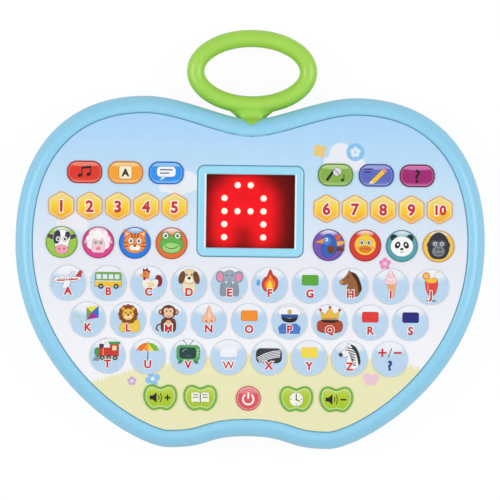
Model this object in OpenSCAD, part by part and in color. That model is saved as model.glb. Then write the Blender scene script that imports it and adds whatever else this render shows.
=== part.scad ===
// Apple-shaped toy learning computer: a flat case with a carrying handle, a sprung keypad of fifty-six
// keys under one printed panel, a five by five lamp display, a loudspeaker and a bay for three AA cells.
// It lies on its back. +X is to the right of the panel, +Y towards the handle and +Z out of the keys.
// The origin is under the middle of the footprint, on the surface that the rubber feet stand on.

/* [Outline] */
// Width of the case
body_w = 240; // [238:1:262]
// Height of the shoulders above the middle of the panel
shoulder_y = 89; // [88:0.5:98]
// How far each shoulder's crest lies to the side
shoulder_x = 53.8; // [50:0.2:58]
// How far the dip at the handle lies below the shoulders
valley_drop = 11.5; // [8:0.5:13]
// Height of the widest point above the middle of the panel
waist_y = 14.6; // [8:0.2:20]
// How far the two lobes reach below the middle of the panel
lobe_reach = 90.6; // [89:0.2:98]
// How far each lobe's lowest point lies to the side
lobe_x = 40.9; // [38:0.2:44]
// How far the notch between the lobes lies above them
notch_rise = 6.1; // [3:0.1:7]

/* [Case] */
// Thickness of the case from its back to the crest of the rim
case_t = 26.5; // [26:0.5:34]
// Thickness of the case walls
wall = 2; // [1.8:0.1:2.4]
// Width of the rim around the panel
rim_w = 8.7; // [8.2:0.1:10]
// How far in from the edge the crest of the rim lies
rim_round = 6.5; // [6:0.1:7]
// How far down the edge the rounding of the front reaches
rim_drop = 9.5; // [8:0.5:10]
// How far in from the edge the flat of the back starts
back_round = 8.5; // [7:0.5:10]
// How far up the edge the rounding of the back reaches
back_rise = 8; // [6:0.5:9]
// Height of the parting line above the back
parting = 12.5; // [12:0.25:14]
// Height of the tongue that joins the two halves
tongue_h = 2; // [1.5:0.1:2.5]
// Gap between pieces that fit into each other
fit = 0.15; // [0.12:0.01:0.2]

/* [Panel] */
// Depth of the printed panel below the crest of the rim
panel_drop = 1.1; // [0.9:0.1:1.6]
// Thickness of the printed panel
overlay_t = 0.5; // [0.4:0.05:0.8]
// Thickness of the contact film under the keys
film_t = 0.3; // [0.2:0.05:0.5]
// Thickness of the plate that carries the keypad
plate_t = 2; // [1.8:0.1:2.5]

/* [Keys] */
// Diameter of a letter key
letter_d = 18; // [17:0.1:18.4]
// Spacing of the letter keys in a row
letter_pitch = 20.6; // [20.2:0.1:21]
// Height of the first row of letters above the middle of the panel
letter_y = -7.1; // [-7.6:0.1:-6.6]
// Spacing of the rows of letters
letter_row_pitch = 18.5; // [18.3:0.1:18.8]
// Diameter of an animal key
animal_d = 15.9; // [15:0.1:16.5]
// Spacing of the animal keys
animal_pitch = 18.7; // [18:0.1:19]
// Distance of the innermost animal key from the middle
animal_x = 40.1; // [39:0.1:41]
// Height of the animal keys above the middle of the panel
animal_y = 13.7; // [13.2:0.1:14.2]
// Width of a number key across its flats
number_w = 12.7; // [12:0.1:13]
// Spacing of the number keys
number_pitch = 14.45; // [14.2:0.05:14.8]
// Distance of the innermost number key from the middle
number_x = 38.8; // [38.2:0.1:39.6]
// Height of the number keys above the middle of the panel
number_y = 32.3; // [31.8:0.1:32.8]
// Length of a mode key
mode_w = 17.6; // [16.5:0.1:18.5]
// Width of a mode key
mode_h = 11.2; // [10.4:0.1:11.6]
// Spacing of the mode keys
mode_pitch = 20.85; // [20.4:0.05:21.2]
// Distance of the innermost mode key from the middle
mode_x = 43.2; // [42.5:0.1:44]
// Height of the mode keys above the middle of the panel
mode_y = 49.6; // [49:0.1:50.2]
// Width of an apple-shaped key
apple_w = 17; // [16:0.1:18]
// Height of an apple-shaped key
apple_h = 12.8; // [12:0.1:13.4]
// Distance of the inner apple-shaped keys from the middle
apple_x = 24.5; // [23.5:0.1:25]
// Spacing of the apple-shaped keys
apple_pitch = 20.4; // [20:0.1:21]
// Diameter of the power key
power_d = 12.3; // [11.5:0.1:13]
// Depth of the lowest row of keys below the middle of the panel
apple_depth = 65; // [64.2:0.1:65.4]
// How far a key stands out of the panel
key_proud = 0.6; // [0.5:0.05:0.8]
// How far a key travels
key_travel = 0.5; // [0.3:0.05:0.7]
// Gap between a key and what lies around it
key_gap = 0.2; // [0.16:0.01:0.24]
// Width of the lip that holds a key under the panel
key_lip = 0.45; // [0.4:0.01:0.5]
// Thickness of that lip
key_lip_t = 0.5; // [0.4:0.05:0.7]

/* [Display] */
// Width of the clear opening of the display
window_w = 45.2; // [43:0.1:46]
// Height of the clear opening of the display
window_h = 37.5; // [36:0.1:38.5]
// Height of the display's middle above the middle of the panel
window_y = 30.5; // [30:0.1:31]
// Width of the raised frame around the display
bezel_w = 4.4; // [4:0.1:4.8]
// How far that frame stands out of the panel
bezel_proud = 0.6; // [0.4:0.1:0.9]
// Thickness of the red window
lens_t = 1.5; // [1.2:0.1:1.8]
// Spacing of the lamps
lamp_pitch = 6.65; // [6.3:0.05:6.9]
// Diameter of a lamp
lamp_d = 3; // [2.6:0.1:3.4]
// Height of a lamp above its board
lamp_h = 5.3; // [4.8:0.1:6]
// Thickness of the circuit boards
board_t = 1.6; // [1:0.1:1.8]

/* [Handle] */
// Width of the handle's ring
handle_w = 66.8; // [60:0.2:72]
// Height of the handle's ring
handle_h = 43; // [40:0.5:48]
// Thickness of the handle's bar across the ring
bar_w = 9; // [8:0.1:10]
// Thickness of the handle's bar from front to back
bar_t = 10; // [9:0.1:11]
// Height of the ring's lowest edge above the dip in the case
handle_gap = 3; // [2:0.1:4]
// Width of the tongue that holds the handle in the case
stalk_w = 12; // [11.5:0.1:13]
// Thickness of that tongue
stalk_t = 5; // [4.5:0.1:5.5]

/* [Power] */
// Diameter of a cell
cell_d = 14.5; // [14.2:0.1:14.5]
// Length of a cell with its knob
cell_l = 50.5; // [49.5:0.1:50.5]
// Length of a contact spring in use
spring_l = 3.8; // [3.4:0.1:4.4]
// Thickness of the battery door
door_t = 2.4; // [2.2:0.1:2.6]

/* [Speaker] */
// Diameter of the loudspeaker
speaker_d = 40; // [36:0.5:42]
// Diameter of a sound hole
sound_hole_d = 2.2; // [1.8:0.1:2.4]

/* [Fasteners and feet] */
// Diameter of a screw's shank
screw_d = 2.5; // [2.3:0.1:2.6]
// Diameter of a case screw's head
head_d = 5.4; // [5:0.1:5.6]
// Diameter of a rubber foot
foot_d = 12; // [10:0.5:14]
// Height of a foot below the back
foot_h = 1.5; // [1:0.1:2.5]
// Depth of the pocket that holds a foot
foot_pocket = 1; // [0.6:0.1:1.1]

/* [Hidden] */
LETTERS = ["a", "b", "c", "d", "e", "f", "g", "h", "i", "j", "k", "l", "m", "n", "o", "p", "q", "r", "s",
    "t", "u", "v", "w", "x", "y", "z", "plus_minus"];
MODES = ["music", "letter", "word", "singing", "spell", "asking"];
APPLES = ["volume_up", "story", "habit", "volume_down"];
$fn = 48;

// Heights above the surface that the feet stand on
back_z = foot_h;
crest_z = back_z + case_t;
parting_z = back_z + parting;
floor_z = back_z + wall;
panel_z = crest_z - panel_drop;
overlay_z = panel_z - overlay_t;
lip_z = overlay_z - key_gap - key_lip_t;
film_z = lip_z - key_travel - key_gap;
plate_z = film_z - film_t;
plate_under_z = plate_z - plate_t;
key_z = panel_z + key_proud;
bezel_z = panel_z + bezel_proud;

// Plan of the case: each curve is [start, start's pull, end's pull, end], from the dip to the notch
half_w = body_w / 2;
valley_y = shoulder_y - valley_drop;
notch_y = notch_rise - lobe_reach;
valley_pull = 13.3;
shoulder_pull_in = 18.6;
shoulder_pull_out = 40;
waist_pull_up = 47.9;
waist_pull_down = 70.2;
lobe_pull_out = 16.1;
lobe_pull_in = 22.4;
notch_pull = 22.2;
CASE_CURVES = [
    [[0, valley_y], [valley_pull, valley_y], [shoulder_x - shoulder_pull_in, shoulder_y],
        [shoulder_x, shoulder_y]],
    [[shoulder_x, shoulder_y], [shoulder_x + shoulder_pull_out, shoulder_y],
        [half_w, waist_y + waist_pull_up], [half_w, waist_y]],
    [[half_w, waist_y], [half_w, waist_y - waist_pull_down], [lobe_x + lobe_pull_out, -lobe_reach],
        [lobe_x, -lobe_reach]],
    [[lobe_x, -lobe_reach], [lobe_x - lobe_pull_in, -lobe_reach], [notch_pull, notch_y], [0, notch_y]]];

// The keypad keeps its proportions when the case or its keys change: how large a case the keys need with
// these margins beside, above and below them, how far everything on the panel spreads from the panel's
// middle to fill the real one, and how much smaller the keys are made so that they still fit
side_margin = 17.05;
shoulder_margin = 33.8;
lobe_margin = 19.2;
plan_w = 2 * (number_x + 4 * number_pitch + number_w / 2 + side_margin);
plan_shoulder = mode_y + mode_h / 2 + shoulder_margin;
plan_reach = apple_depth + apple_h / 2 + lobe_margin;
spread_x = body_w / plan_w;
spread_up = shoulder_y / plan_shoulder;
spread_down = lobe_reach / plan_reach;
key_share = min(1, spread_x, spread_up, spread_down);
function spread(p) = [p[0] * spread_x, p[1] * (p[1] > 0 ? spread_up : spread_down)];

// Plan of an apple-shaped key, from its top dip to its bottom dip
key_dip = 1.3;
key_dent = 0.7;
plan_long = apple_w * key_share;
plan_high = apple_h * key_share;
KEY_CURVES = [
    [[0, plan_high / 2 - key_dip], [plan_long * 0.1, plan_high / 2 - key_dip],
        [plan_long * 0.14, plan_high / 2], [plan_long * 0.26, plan_high / 2]],
    [[plan_long * 0.26, plan_high / 2], [plan_long * 0.42, plan_high / 2], [plan_long / 2, plan_high * 0.3],
        [plan_long / 2, plan_high * 0.06]],
    [[plan_long / 2, plan_high * 0.06], [plan_long / 2, -plan_high * 0.22],
        [plan_long * 0.32, -plan_high / 2], [plan_long * 0.19, -plan_high / 2]],
    [[plan_long * 0.19, -plan_high / 2], [plan_long * 0.12, -plan_high / 2],
        [plan_long * 0.07, key_dent - plan_high / 2], [0, key_dent - plan_high / 2]]];
CASE_STEPS = [6, 14, 20, 8];
KEY_STEPS = [4, 5, 5, 4];

function unit(v) = v / norm(v);
// A cubic curve c at t, its direction there, and the point moved in by d
function on_curve(c, t) = c[0] * pow(1 - t, 3) + c[1] * 3 * t * pow(1 - t, 2)
    + c[2] * 3 * t * t * (1 - t) + c[3] * pow(t, 3);
function along_curve(c, t) = (c[1] - c[0]) * pow(1 - t, 2) + (c[2] - c[1]) * 2 * t * (1 - t)
    + (c[3] - c[2]) * t * t;
function moved_in(c, t, d) = let (run = along_curve(c, t)) on_curve(c, t)
    + [run[1], -run[0]] * d / norm(run);
// The closed outline of four mirrored curves, moved in by d
function outline(curves, steps, d) = let (
        half = [for (k = [0:3]) for (i = [0:steps[k] - 1]) moved_in(curves[k], i / steps[k], d)],
        foot = moved_in(curves[3], 1, d))
    concat(half, [foot], [for (i = [len(half) - 1:-1:1]) [-half[i][0], half[i][1]]]);
function case_outline(d) = outline(CASE_CURVES, CASE_STEPS, d);
function lifted(points, z) = [for (p = points) [p[0], p[1], z]];

// A convex shape whose corners are arcs of radius r about the given centres
module rounded(centres, r) {
    n = len(centres);
    polygon([for (i = [0:n - 1]) let (run = unit(centres[(i + 1) % n] - centres[i]),
        out = r * [run[1], -run[0]]) each [centres[i] + out, centres[(i + 1) % n] + out]]);
    for (c = centres) translate(c) circle(r);
}

module round_box(w, h, r) {
    x = w / 2 - r;
    y = h / 2 - r;
    rounded([[-x, -y], [x, -y], [x, y], [-x, y]], r);
}

module round_slab(w, h, r, from, to) {
    translate([0, 0, from]) linear_extrude(to - from) round_box(w, h, r);
}

function middle_of(points) = [for (axis = [0:2]) let (reach = [for (p = points) p[axis]])
    (min(reach) + max(reach)) / 2];

// A solid between rings of as many points each, closed at its first and last ring by fans of
// triangles round their middles, which every point of a ring can see
module skin(rings) {
    n = len(rings[0]);
    last = (len(rings) - 1) * n;
    bottom = last + n;
    top = bottom + 1;
    polyhedron(concat([for (r = rings) each r], [middle_of(rings[0]), middle_of(rings[len(rings) - 1])]),
        [for (i = [0:n - 1]) let (j = (i + 1) % n) each concat([[j, i, bottom], [last + i, last + j, top]],
            [for (k = [0:n:last - n]) each [[k + i, k + j, k + n + i], [k + j, k + n + j, k + n + i]]])]);
}

// A ring-shaped solid whose last ring joins its first
module loop_skin(rings) {
    n = len(rings[0]);
    m = len(rings);
    polyhedron([for (r = rings) each r], [for (k = [0:m - 1]) for (i = [0:n - 1])
        let (j = (i + 1) % n, up = ((k + 1) % m) * n) each [[k * n + i, k * n + j, up + i],
            [k * n + j, up + j, up + i]]]);
}

// A curve through points, and a direction carried along it from ring to ring without a twist
function bent(p, steps) = let (last = len(p) - 1) concat([for (i = [0:last - 1]) for (k = [0:steps - 1])
    let (t = k / steps, before = i == 0 ? 2 * p[0] - p[1] : p[i - 1],
        after = i == last - 1 ? 2 * p[last] - p[last - 1] : p[i + 2])
    p[i] + t / 2 * (p[i + 1] - before + t * (2 * before - 5 * p[i] + 4 * p[i + 1] - after
        + t * (3 * p[i] - before - 3 * p[i + 1] + after)))], [p[last]]);
function square_to(u, ahead) = unit(u - (u * ahead) * ahead);
function carried(u, runs, i) = i == len(runs) ? [] :
    let (next = square_to(u, runs[i])) concat([next], carried(next, runs, i + 1));

// A wire of radius r along a route, with square ends
module wire(route, r, sides = 6, steps = 3) {
    path = bent(route, steps);
    last = len(path) - 1;
    end = len(route) - 1;
    runs = [unit(route[1] - route[0]), for (i = [1:last - 1]) unit(path[i + 1] - path[i - 1]),
        unit(route[end] - route[end - 1])];
    across = carried([0.3, 0.2, 1], runs, 0);
    skin([for (i = [0:last]) let (u = across[i], v = cross(u, runs[i])) [for (k = [0:sides - 1])
        path[i] + r * (u * cos(360 * k / sides) + v * sin(360 * k / sides))]]);
}

module prism(points, from, to) {
    translate([0, 0, from]) linear_extrude(to - from) polygon(points);
}

module post(x, y, r, from, to) {
    translate([x, y, from]) cylinder(r = r, h = to - from);
}

// Puts the middle of the panel where the middle of the footprint is over the origin
footprint_y = (valley_y + handle_gap + handle_h - lobe_reach) / 2;
module on_base() {
    translate([0, -footprint_y, 0]) children();
}

// Keys ---------------------------------------------------------------------------------------------

module key_plan(kind, grow) {
    if (kind == "letter") circle(letter_d * key_share / 2 + grow);
    if (kind == "animal") circle(animal_d * key_share / 2 + grow);
    if (kind == "power") circle(power_d * key_share / 2 + grow);
    if (kind == "number") polygon([for (a = [30:60:330]) for (turn = [-30, -10, 10, 30])
        (number_w * key_share / 2 - number_corner) / cos(30) * [cos(a), sin(a)]
            + (number_corner + grow) * [cos(a + turn), sin(a + turn)]]);
    if (kind == "mode") round_box(mode_w * key_share + 2 * grow, mode_h * key_share + 2 * grow,
        mode_corner * key_share + grow);
    if (kind == "apple") polygon(outline(KEY_CURVES, KEY_STEPS, -grow));
}

number_corner = 2;
mode_corner = 5;
LETTER_ROWS = [10, 9, 8];
LETTER_PLACES = [for (row = [0:2]) for (i = [0:LETTER_ROWS[row] - 1])
    spread([(i - (LETTER_ROWS[row] - 1) / 2) * letter_pitch, letter_y - row * letter_row_pitch])];
function both_sides(count, x, pitch, y) = concat([for (i = [count - 1:-1:0])
    spread([-x - i * pitch, y])], [for (i = [0:count - 1]) spread([x + i * pitch, y])]);
NUMBER_PLACES = both_sides(5, number_x, number_pitch, number_y);
ANIMAL_PLACES = both_sides(4, animal_x, animal_pitch, animal_y);
MODE_PLACES = both_sides(3, mode_x, mode_pitch, mode_y);
APPLE_PLACES = both_sides(2, apple_x, apple_pitch, -apple_depth);
POWER_PLACES = [spread([0, -apple_depth])];
KEYPAD = [["letter", LETTER_PLACES], ["number", NUMBER_PLACES], ["animal", ANIMAL_PLACES],
    ["mode", MODE_PLACES], ["apple", APPLE_PLACES], ["power", POWER_PLACES]];

// Every key's plan, grown for a hole around it
module key_holes(grow, from, to) {
    for (group = KEYPAD) for (p = group[1])
        translate([p[0], p[1], from]) linear_extrude(to - from) key_plan(group[0], grow);
}

// One key: its lip under the panel, its body, and a slightly smaller top
module key(kind, place) {
    top_step = 0.35;
    translate([place[0], place[1], 0]) {
        translate([0, 0, lip_z]) linear_extrude(key_lip_t) key_plan(kind, key_lip);
        translate([0, 0, lip_z]) linear_extrude(key_z - top_step - lip_z) key_plan(kind, 0);
        translate([0, 0, lip_z]) linear_extrude(key_z - lip_z) key_plan(kind, -top_step);
    }
}

module letter_key(i) {
    color("#bcdcf4") key("letter", LETTER_PLACES[i]);
}

module mode_key(i) {
    color(["#e03a28", "#f6a828", "#2f96f2", "#86bf3f", "#5f6cc9", "#a82476"][i])
        key("mode", MODE_PLACES[i]);
}

module apple_key(i) {
    color("#a3c83a") key("apple", APPLE_PLACES[i]);
}

module power_key() {
    color("#e5485a") key("power", POWER_PLACES[0]);
}

// The five separate number keys, or four animal keys, of one side: -1 is the left and 1 the right
module number_keys(side) {
    color("#fdc72e") for (p = NUMBER_PLACES) if (p[0] * side > 0) key("number", p);
}

module animal_keys(side) {
    color("#e8556c") for (p = ANIMAL_PLACES) if (p[0] * side > 0) key("animal", p);
}

// Case ---------------------------------------------------------------------------------------------

// Height of the front's and the back's surface at d in from the edge
function front_z(d) = crest_z - rim_drop * (1 - sqrt(1 - pow(1 - min(d, rim_round) / rim_round, 2)));
function rear_z(d) = back_z + back_rise * (1 - sqrt(1 - pow(1 - min(d, back_round) / back_round, 2)));

tongue_in = 1.1;
round_steps = 6;
screw_r = screw_d / 2;
pilot_r = screw_r + 0.05;

boss_r = 3.4;
tower_r = 4.4;
head_r = head_d / 2;
head_h = 1.6;
tower_z = parting_z - 3.5;
tower_seat = 2;
side_screw_in = 14;
SCREW_PLACES = [[shoulder_x + 4, shoulder_y - 17], [-shoulder_x - 4, shoulder_y - 17],
    [half_w - side_screw_in, waist_y - 3], [side_screw_in - half_w, waist_y - 3],
    [lobe_x + 37, 38.6 - lobe_reach], [-lobe_x - 37, 38.6 - lobe_reach], [0, notch_y + 12],
    [0, valley_y - 9.5]];

// The front: the rim, the plate under the keypad, the display's frame, its posts and the screw bosses
module front_shell() {
    edge = 0.9;
    rounding = [for (i = [0:round_steps]) let (a = 90 * i / round_steps)
        [rim_round * (1 - cos(a)), crest_z - rim_drop * (1 - sin(a))]];
    section = concat([[rim_w, plate_under_z], [wall + 2.2, plate_under_z - 0.5],
        [wall, plate_under_z - 4], [wall, parting_z + tongue_h + fit],
        [tongue_in, parting_z + tongue_h + fit], [tongue_in, parting_z], [0, parting_z]], rounding,
        [[rim_w - edge, crest_z - edge * 0.2], [rim_w - edge * 0.2, crest_z - edge * 0.7],
        [rim_w, crest_z - edge * 1.4], [rim_w, plate_z]]);
    color("#8ed2ef") difference() {
        union() {
            difference() {
                skin([for (s = section) lifted(case_outline(s[0]), s[1])]);
                handle_stalk(fit);
            }
            at_window() round_slab(window_w + 2 * bezel_w, window_h + 2 * bezel_w, bezel_corner,
                plate_z - 0.5, bezel_z);
            for (p = SCREW_PLACES) post(p[0], p[1], boss_r, tower_z + fit, plate_z - 0.5);
            for (p = LAMP_BOARD_HOLES) post(p[0], p[1], lamp_post_r, lamp_board_z + board_t,
                plate_z - 0.5);
        }
        at_window() {
            round_slab(window_w, window_h, 0.5, plate_under_z - 1, bezel_z + 1);
            round_slab(lens_w + 2 * fit, lens_h + 2 * fit, 1, plate_under_z - 1,
                plate_under_z + lens_t + fit);
        }
        for (p = SCREW_PLACES) post(p[0], p[1], pilot_r, tower_z - 1, plate_under_z);
        for (p = LAMP_BOARD_HOLES) post(p[0], p[1], small_pilot_r, lamp_board_z, plate_under_z);
        translate([tail_x - 1, tail_y - tail_w / 2 - 0.5, plate_under_z - 1])
            cube([2, tail_w + 1, plate_t + 2]);
    }
}

// The back: a rounded tray with the battery bay, the speaker's seat, screw towers and foot pockets
module rear_shell() {
    curve = [for (i = [0:round_steps]) 90 * i / round_steps];
    outer = [for (a = curve) [back_round - back_round * sin(a), back_z + back_rise * (1 - cos(a))]];
    inner = [for (i = [round_steps:-1:0]) let (a = curve[i])
        [back_round - (back_round - wall) * sin(a), floor_z + (back_rise - wall) * (1 - cos(a))]];
    rings = concat(outer, [[0, parting_z], [tongue_in + fit, parting_z],
        [tongue_in + fit, parting_z + tongue_h], [wall, parting_z + tongue_h]], inner);
    color("#86cdec") difference() {
        union() {
            skin([for (s = rings) lifted(case_outline(s[0]), s[1])]);
            for (p = SCREW_PLACES) post(p[0], p[1], tower_r, back_z + 0.5, tower_z);
            for (p = MAIN_BOARD_HOLES) post(p[0], p[1], 2.6, back_z + 0.5, main_board_z);
            translate([speaker_x, speaker_y, back_z + 0.5])
                cylinder(r = speaker_d / 2 + fit + 1.5, h = 5);
            translate([0, bay_y, 0]) {
                round_slab(pocket_w + 3, pocket_h + 3, 4, back_z + 0.5, ledge_z + 1.5);
                translate([-bay_l / 2 - 1.5, -bay_w / 2 - 1.5, back_z + 0.5])
                    cube([bay_l + 3, bay_w + 3, bay_top_z + 1.5 - back_z - 0.5]);
                for (x = [-door_screw_x, door_screw_x]) post(x, 0, 3, back_z + 0.5, ledge_z + 7);
            }
        }
        handle_stalk(fit);
        for (p = SCREW_PLACES) {
            post(p[0], p[1], head_r + 0.3, back_z - 1, tower_z - tower_seat);
            post(p[0], p[1], screw_r + 0.25, back_z, tower_z + 1);
        }
        for (p = MAIN_BOARD_HOLES) post(p[0], p[1], small_pilot_r, floor_z, main_board_z + 1);
        for (p = FOOT_PLACES) post(p[0], p[1], foot_d / 2 + fit, back_z - 1, back_z + foot_pocket);
        translate([speaker_x, speaker_y, floor_z + 0.5]) cylinder(r = speaker_d / 2 + fit, h = 10);
        translate([speaker_x, speaker_y, back_z]) sound_holes();
        translate([0, bay_y, 0]) {
            round_slab(pocket_w, pocket_h, door_corner + fit, back_z - 1, ledge_z);
            translate([-bay_l / 2, -bay_w / 2, back_z]) cube([bay_l, bay_w, bay_top_z - back_z]);
            for (x = [-door_screw_x, door_screw_x]) post(x, 0, pilot_r, back_z, ledge_z + 6);
            for (s = [-1, 1]) translate([s * (bay_l / 2 + 1), s * cell_pitch, cell_z])
                cube([4, 5, 1.2], center = true);
        }
    }
}

// Rings of round holes behind the loudspeaker
module sound_holes() {
    ring_step = 4.4;
    for (ring = [0:3]) for (i = [0:max(ring * 6, 1) - 1])
        rotate(360 * i / max(ring * 6, 1)) translate([ring * ring_step, 0, -1])
            cylinder(d = sound_hole_d, h = wall + 2);
}

FOOT_PLACES = [for (s = [-1, 1]) each [[s * (half_w - 30), waist_y + 24], [s * (lobe_x + 15),
    26 - lobe_reach]]];
module rubber_feet() {
    color("#4a5058") for (p = FOOT_PLACES) post(p[0], p[1], foot_d / 2, 0, back_z + foot_pocket - 0.05);
}

// The eight long screws of the case and the eight small ones of the two boards
module housing_screws() {
    color("#b9bec4") {
        for (p = SCREW_PLACES) difference() {
            union() {
                post(p[0], p[1], head_r, tower_z - tower_seat - head_h, tower_z - tower_seat);
                post(p[0], p[1], screw_r, tower_z - tower_seat - 0.1, tower_z + 9);
            }
            cross_slot(p, tower_z - tower_seat - head_h, 1.7);
        }
        for (p = MAIN_BOARD_HOLES) small_screw(p, board_top, false);
        for (p = LAMP_BOARD_HOLES) small_screw(p, lamp_board_z, true);
    }
}

// A cross-shaped driver slot cut up into a screw's head
module cross_slot(p, z, reach) {
    for (a = [0, 90]) translate([p[0], p[1], z]) rotate(a) cube([2 * reach, 0.7, 1.6], center = true);
}

// Handle -------------------------------------------------------------------------------------------

handle_z = parting_z;
ring_y = valley_y + handle_gap + handle_h / 2;
fin_reach = 2.9;
fin_proud = 0.4;
bar_steps = 48;
stalk_half = 6.4;
stalk_flare = 1.12;
stalk_tip = 0.15;
stalk_slims_in = 4;
stalk_reach = 6.6;
// How wide and how high the stalk is at y above the dip: [height, half width, top, bottom]
function stalk_section(y, grow) = let (inside = max(0, -y),
    half = y >= 0 ? stalk_half + stalk_flare * y : stalk_half * (1 - inside / fin_reach) + stalk_tip,
    top = max(handle_z + bar_t * 0.5, front_z(inside) + fin_proud),
    under = min(handle_z - bar_t * 0.5, rear_z(inside) - fin_proud),
    slim = y >= 0 ? min(y / stalk_slims_in, 1) : 0)
    [valley_y + y, half + grow, top * (1 - slim) + (handle_z + bar_t * 0.4) * slim + grow,
        under * (1 - slim) + (handle_z - bar_t * 0.4) * slim - grow];

// The pointed stalk that runs from the ring down over the edge of the case, and its tongue inside
module handle_stalk(grow) {
    heights = [stalk_reach, 4, 2, 0.6, -0.8, -1.8, -2.5, -fin_reach];
    skin([for (y = heights) let (s = stalk_section(y, grow), middle = (s[2] + s[3]) / 2,
        tall = (s[2] - s[3]) / 2) [for (a = [0:22.5:337.5])
            [s[1] * sin(a), s[0] - (y == -fin_reach ? grow : 0), middle + tall * cos(a)]]]);
    translate([-stalk_w / 2 - grow, valley_y - 16 - grow, handle_z - stalk_t / 2 - grow])
        cube([stalk_w + 2 * grow, 20 + 2 * grow, stalk_t + 2 * grow]);
}

module carry_handle() {
    half_long = (handle_w - bar_w) / 2;
    half_high = (handle_h - bar_w) / 2;
    color("#9ed34f") difference() {
        union() {
            loop_skin([for (i = [0:bar_steps - 1]) let (a = 360 * i / bar_steps,
                out = [half_high * cos(a), half_long * sin(a)],
                u = out / norm(out)) [for (b = [0:30:330])
                [half_long * cos(a) + u[0] * bar_w / 2 * cos(b),
                    ring_y + half_high * sin(a) + u[1] * bar_w / 2 * cos(b),
                    handle_z + bar_t / 2 * sin(b)]]]);
            handle_stalk(0);
        }
        post(0, valley_y - 9.5, boss_r + 0.2, 0, crest_z);
    }
}

// Keypad -------------------------------------------------------------------------------------------

tail_x = 13 - half_w;
tail_y = -2;
tail_w = 12;
tail_drop = 12;
bezel_corner = 3.5;
module at_window() {
    translate([0, window_y, 0]) children();
}

module window_hole(grow, from, to) {
    at_window() round_slab(window_w + 2 * (bezel_w + grow), window_h + 2 * (bezel_w + grow),
        bezel_corner + grow, from, to);
}

// The printed panel around the keys and the display
module panel_overlay() {
    color("#d5e6f7") difference() {
        prism(case_outline(rim_w + fit), overlay_z, panel_z);
        key_holes(key_gap, overlay_z - 1, panel_z + 1);
        window_hole(fit, overlay_z - 1, panel_z + 1);
    }
}

// The contact film with its foam spacer, and the tail that goes down to the main board
module keypad_membrane() {
    color("#d8cfa8") {
        difference() {
            prism(case_outline(rim_w + fit), plate_z, overlay_z);
            key_holes(key_lip + key_gap, film_z, overlay_z + 1);
            window_hole(fit, plate_z - 1, overlay_z + 1);
        }
        translate([tail_x - film_t / 2, tail_y - tail_w / 2, plate_z - tail_drop])
            cube([film_t, tail_w, tail_drop + 0.1]);
        translate([tail_x - film_t / 2, tail_y - tail_w / 2, plate_z - tail_drop])
            cube([connector_x - tail_x - fit, tail_w, film_t]);
    }
}

// Display ------------------------------------------------------------------------------------------

lens_w = window_w + 5;
lens_h = window_h + 5;
lamp_board_z = plate_under_z - lamp_h - 0.3 - board_t;
lamp_post_r = 2.6;
small_screw_r = 0.95;
small_pilot_r = 1;
lamp_board_w = window_w + 17;
lamp_board_h = window_h + 13.5;
LAMP_BOARD_HOLES = [for (x = [-1, 1]) for (y = [-1, 1])
    [x * (lamp_board_w / 2 - 3), window_y + y * (lamp_board_h / 2 - 3)]];
LAMP_STEPS = [-2:2];

module display_window() {
    color("#8e1418") at_window() round_slab(lens_w, lens_h, 0.9, plate_under_z + fit,
        plate_under_z + lens_t);
}

module display_board() {
    color("#2d3234") difference() {
        at_window() round_slab(lamp_board_w, lamp_board_h, 1.5, lamp_board_z, lamp_board_z + board_t);
        for (p = LAMP_BOARD_HOLES) post(p[0], p[1], small_screw_r + 0.25, lamp_board_z - 1,
            lamp_board_z + board_t + 1);
    }
}

// Five rows of five lamps: a flanged body with a round end
module display_lamps() {
    r = lamp_d / 2;
    foot_z = lamp_board_z + board_t;
    color("#fff3dc") at_window() for (x = LAMP_STEPS) for (y = LAMP_STEPS)
        translate([x * lamp_pitch, y * lamp_pitch, foot_z]) rotate_extrude()
            intersection() {
                square([r + 0.4, lamp_h]);
                union() {
                    square([r + 0.3, 1]);
                    square([r, lamp_h - r]);
                    translate([0, lamp_h - r]) circle(r);
                }
            }
}

// Electronics --------------------------------------------------------------------------------------

main_board_w = 46 * min(1, spread_x);
main_board_h = 40;
main_board_x = -72 * spread_x;
main_board_y = -10;
main_board_z = floor_z + 4.5;
connector_x = main_board_x - main_board_w / 2 + 0.5;
board_top = main_board_z + board_t;
socket_z = board_top + 3.4;
lead_x = main_board_x + 6;
lead_y = main_board_y + 4 - main_board_h / 2;
ribbon_x = main_board_x - 5 + main_board_w / 2;
ribbon_y = main_board_y + 6;
MAIN_BOARD_HOLES = [for (x = [-1, 1]) for (y = [-1, 1])
    [main_board_x + x * (main_board_w / 2 - 4), main_board_y + y * (main_board_h / 2 - 3)]];

// The main board with its chip under a drop of resin, two capacitors, a crystal and two connectors
module main_board() {
    on_top = board_top - 0.1;
    color("#2f7a4a") difference() {
        union() {
            translate([main_board_x, main_board_y, 0])
                round_slab(main_board_w, main_board_h, 1.5, main_board_z, board_top);
            post(main_board_x + 2, main_board_y + 3, 6, on_top, board_top + 1);
            post(main_board_x + 2, main_board_y + 3, 4.4, on_top, board_top + 1.7);
            for (x = [7, 14]) post(main_board_x + x, main_board_y - 11, 2.5, on_top, board_top + 7);
            translate([connector_x, tail_y - tail_w / 2 - 1, on_top])
                cube([4, tail_w + 2, plate_z - tail_drop + 2 - on_top]);
            translate([lead_x - 4.5, lead_y - 2, on_top]) cube([9, 4, socket_z - on_top]);
            translate([ribbon_x - 2, ribbon_y - 4.5, on_top]) cube([4, 9, socket_z - on_top]);
        }
        for (p = MAIN_BOARD_HOLES) post(p[0], p[1], small_screw_r + 0.25, main_board_z - 1,
            board_top + 1);
    }
}

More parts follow.
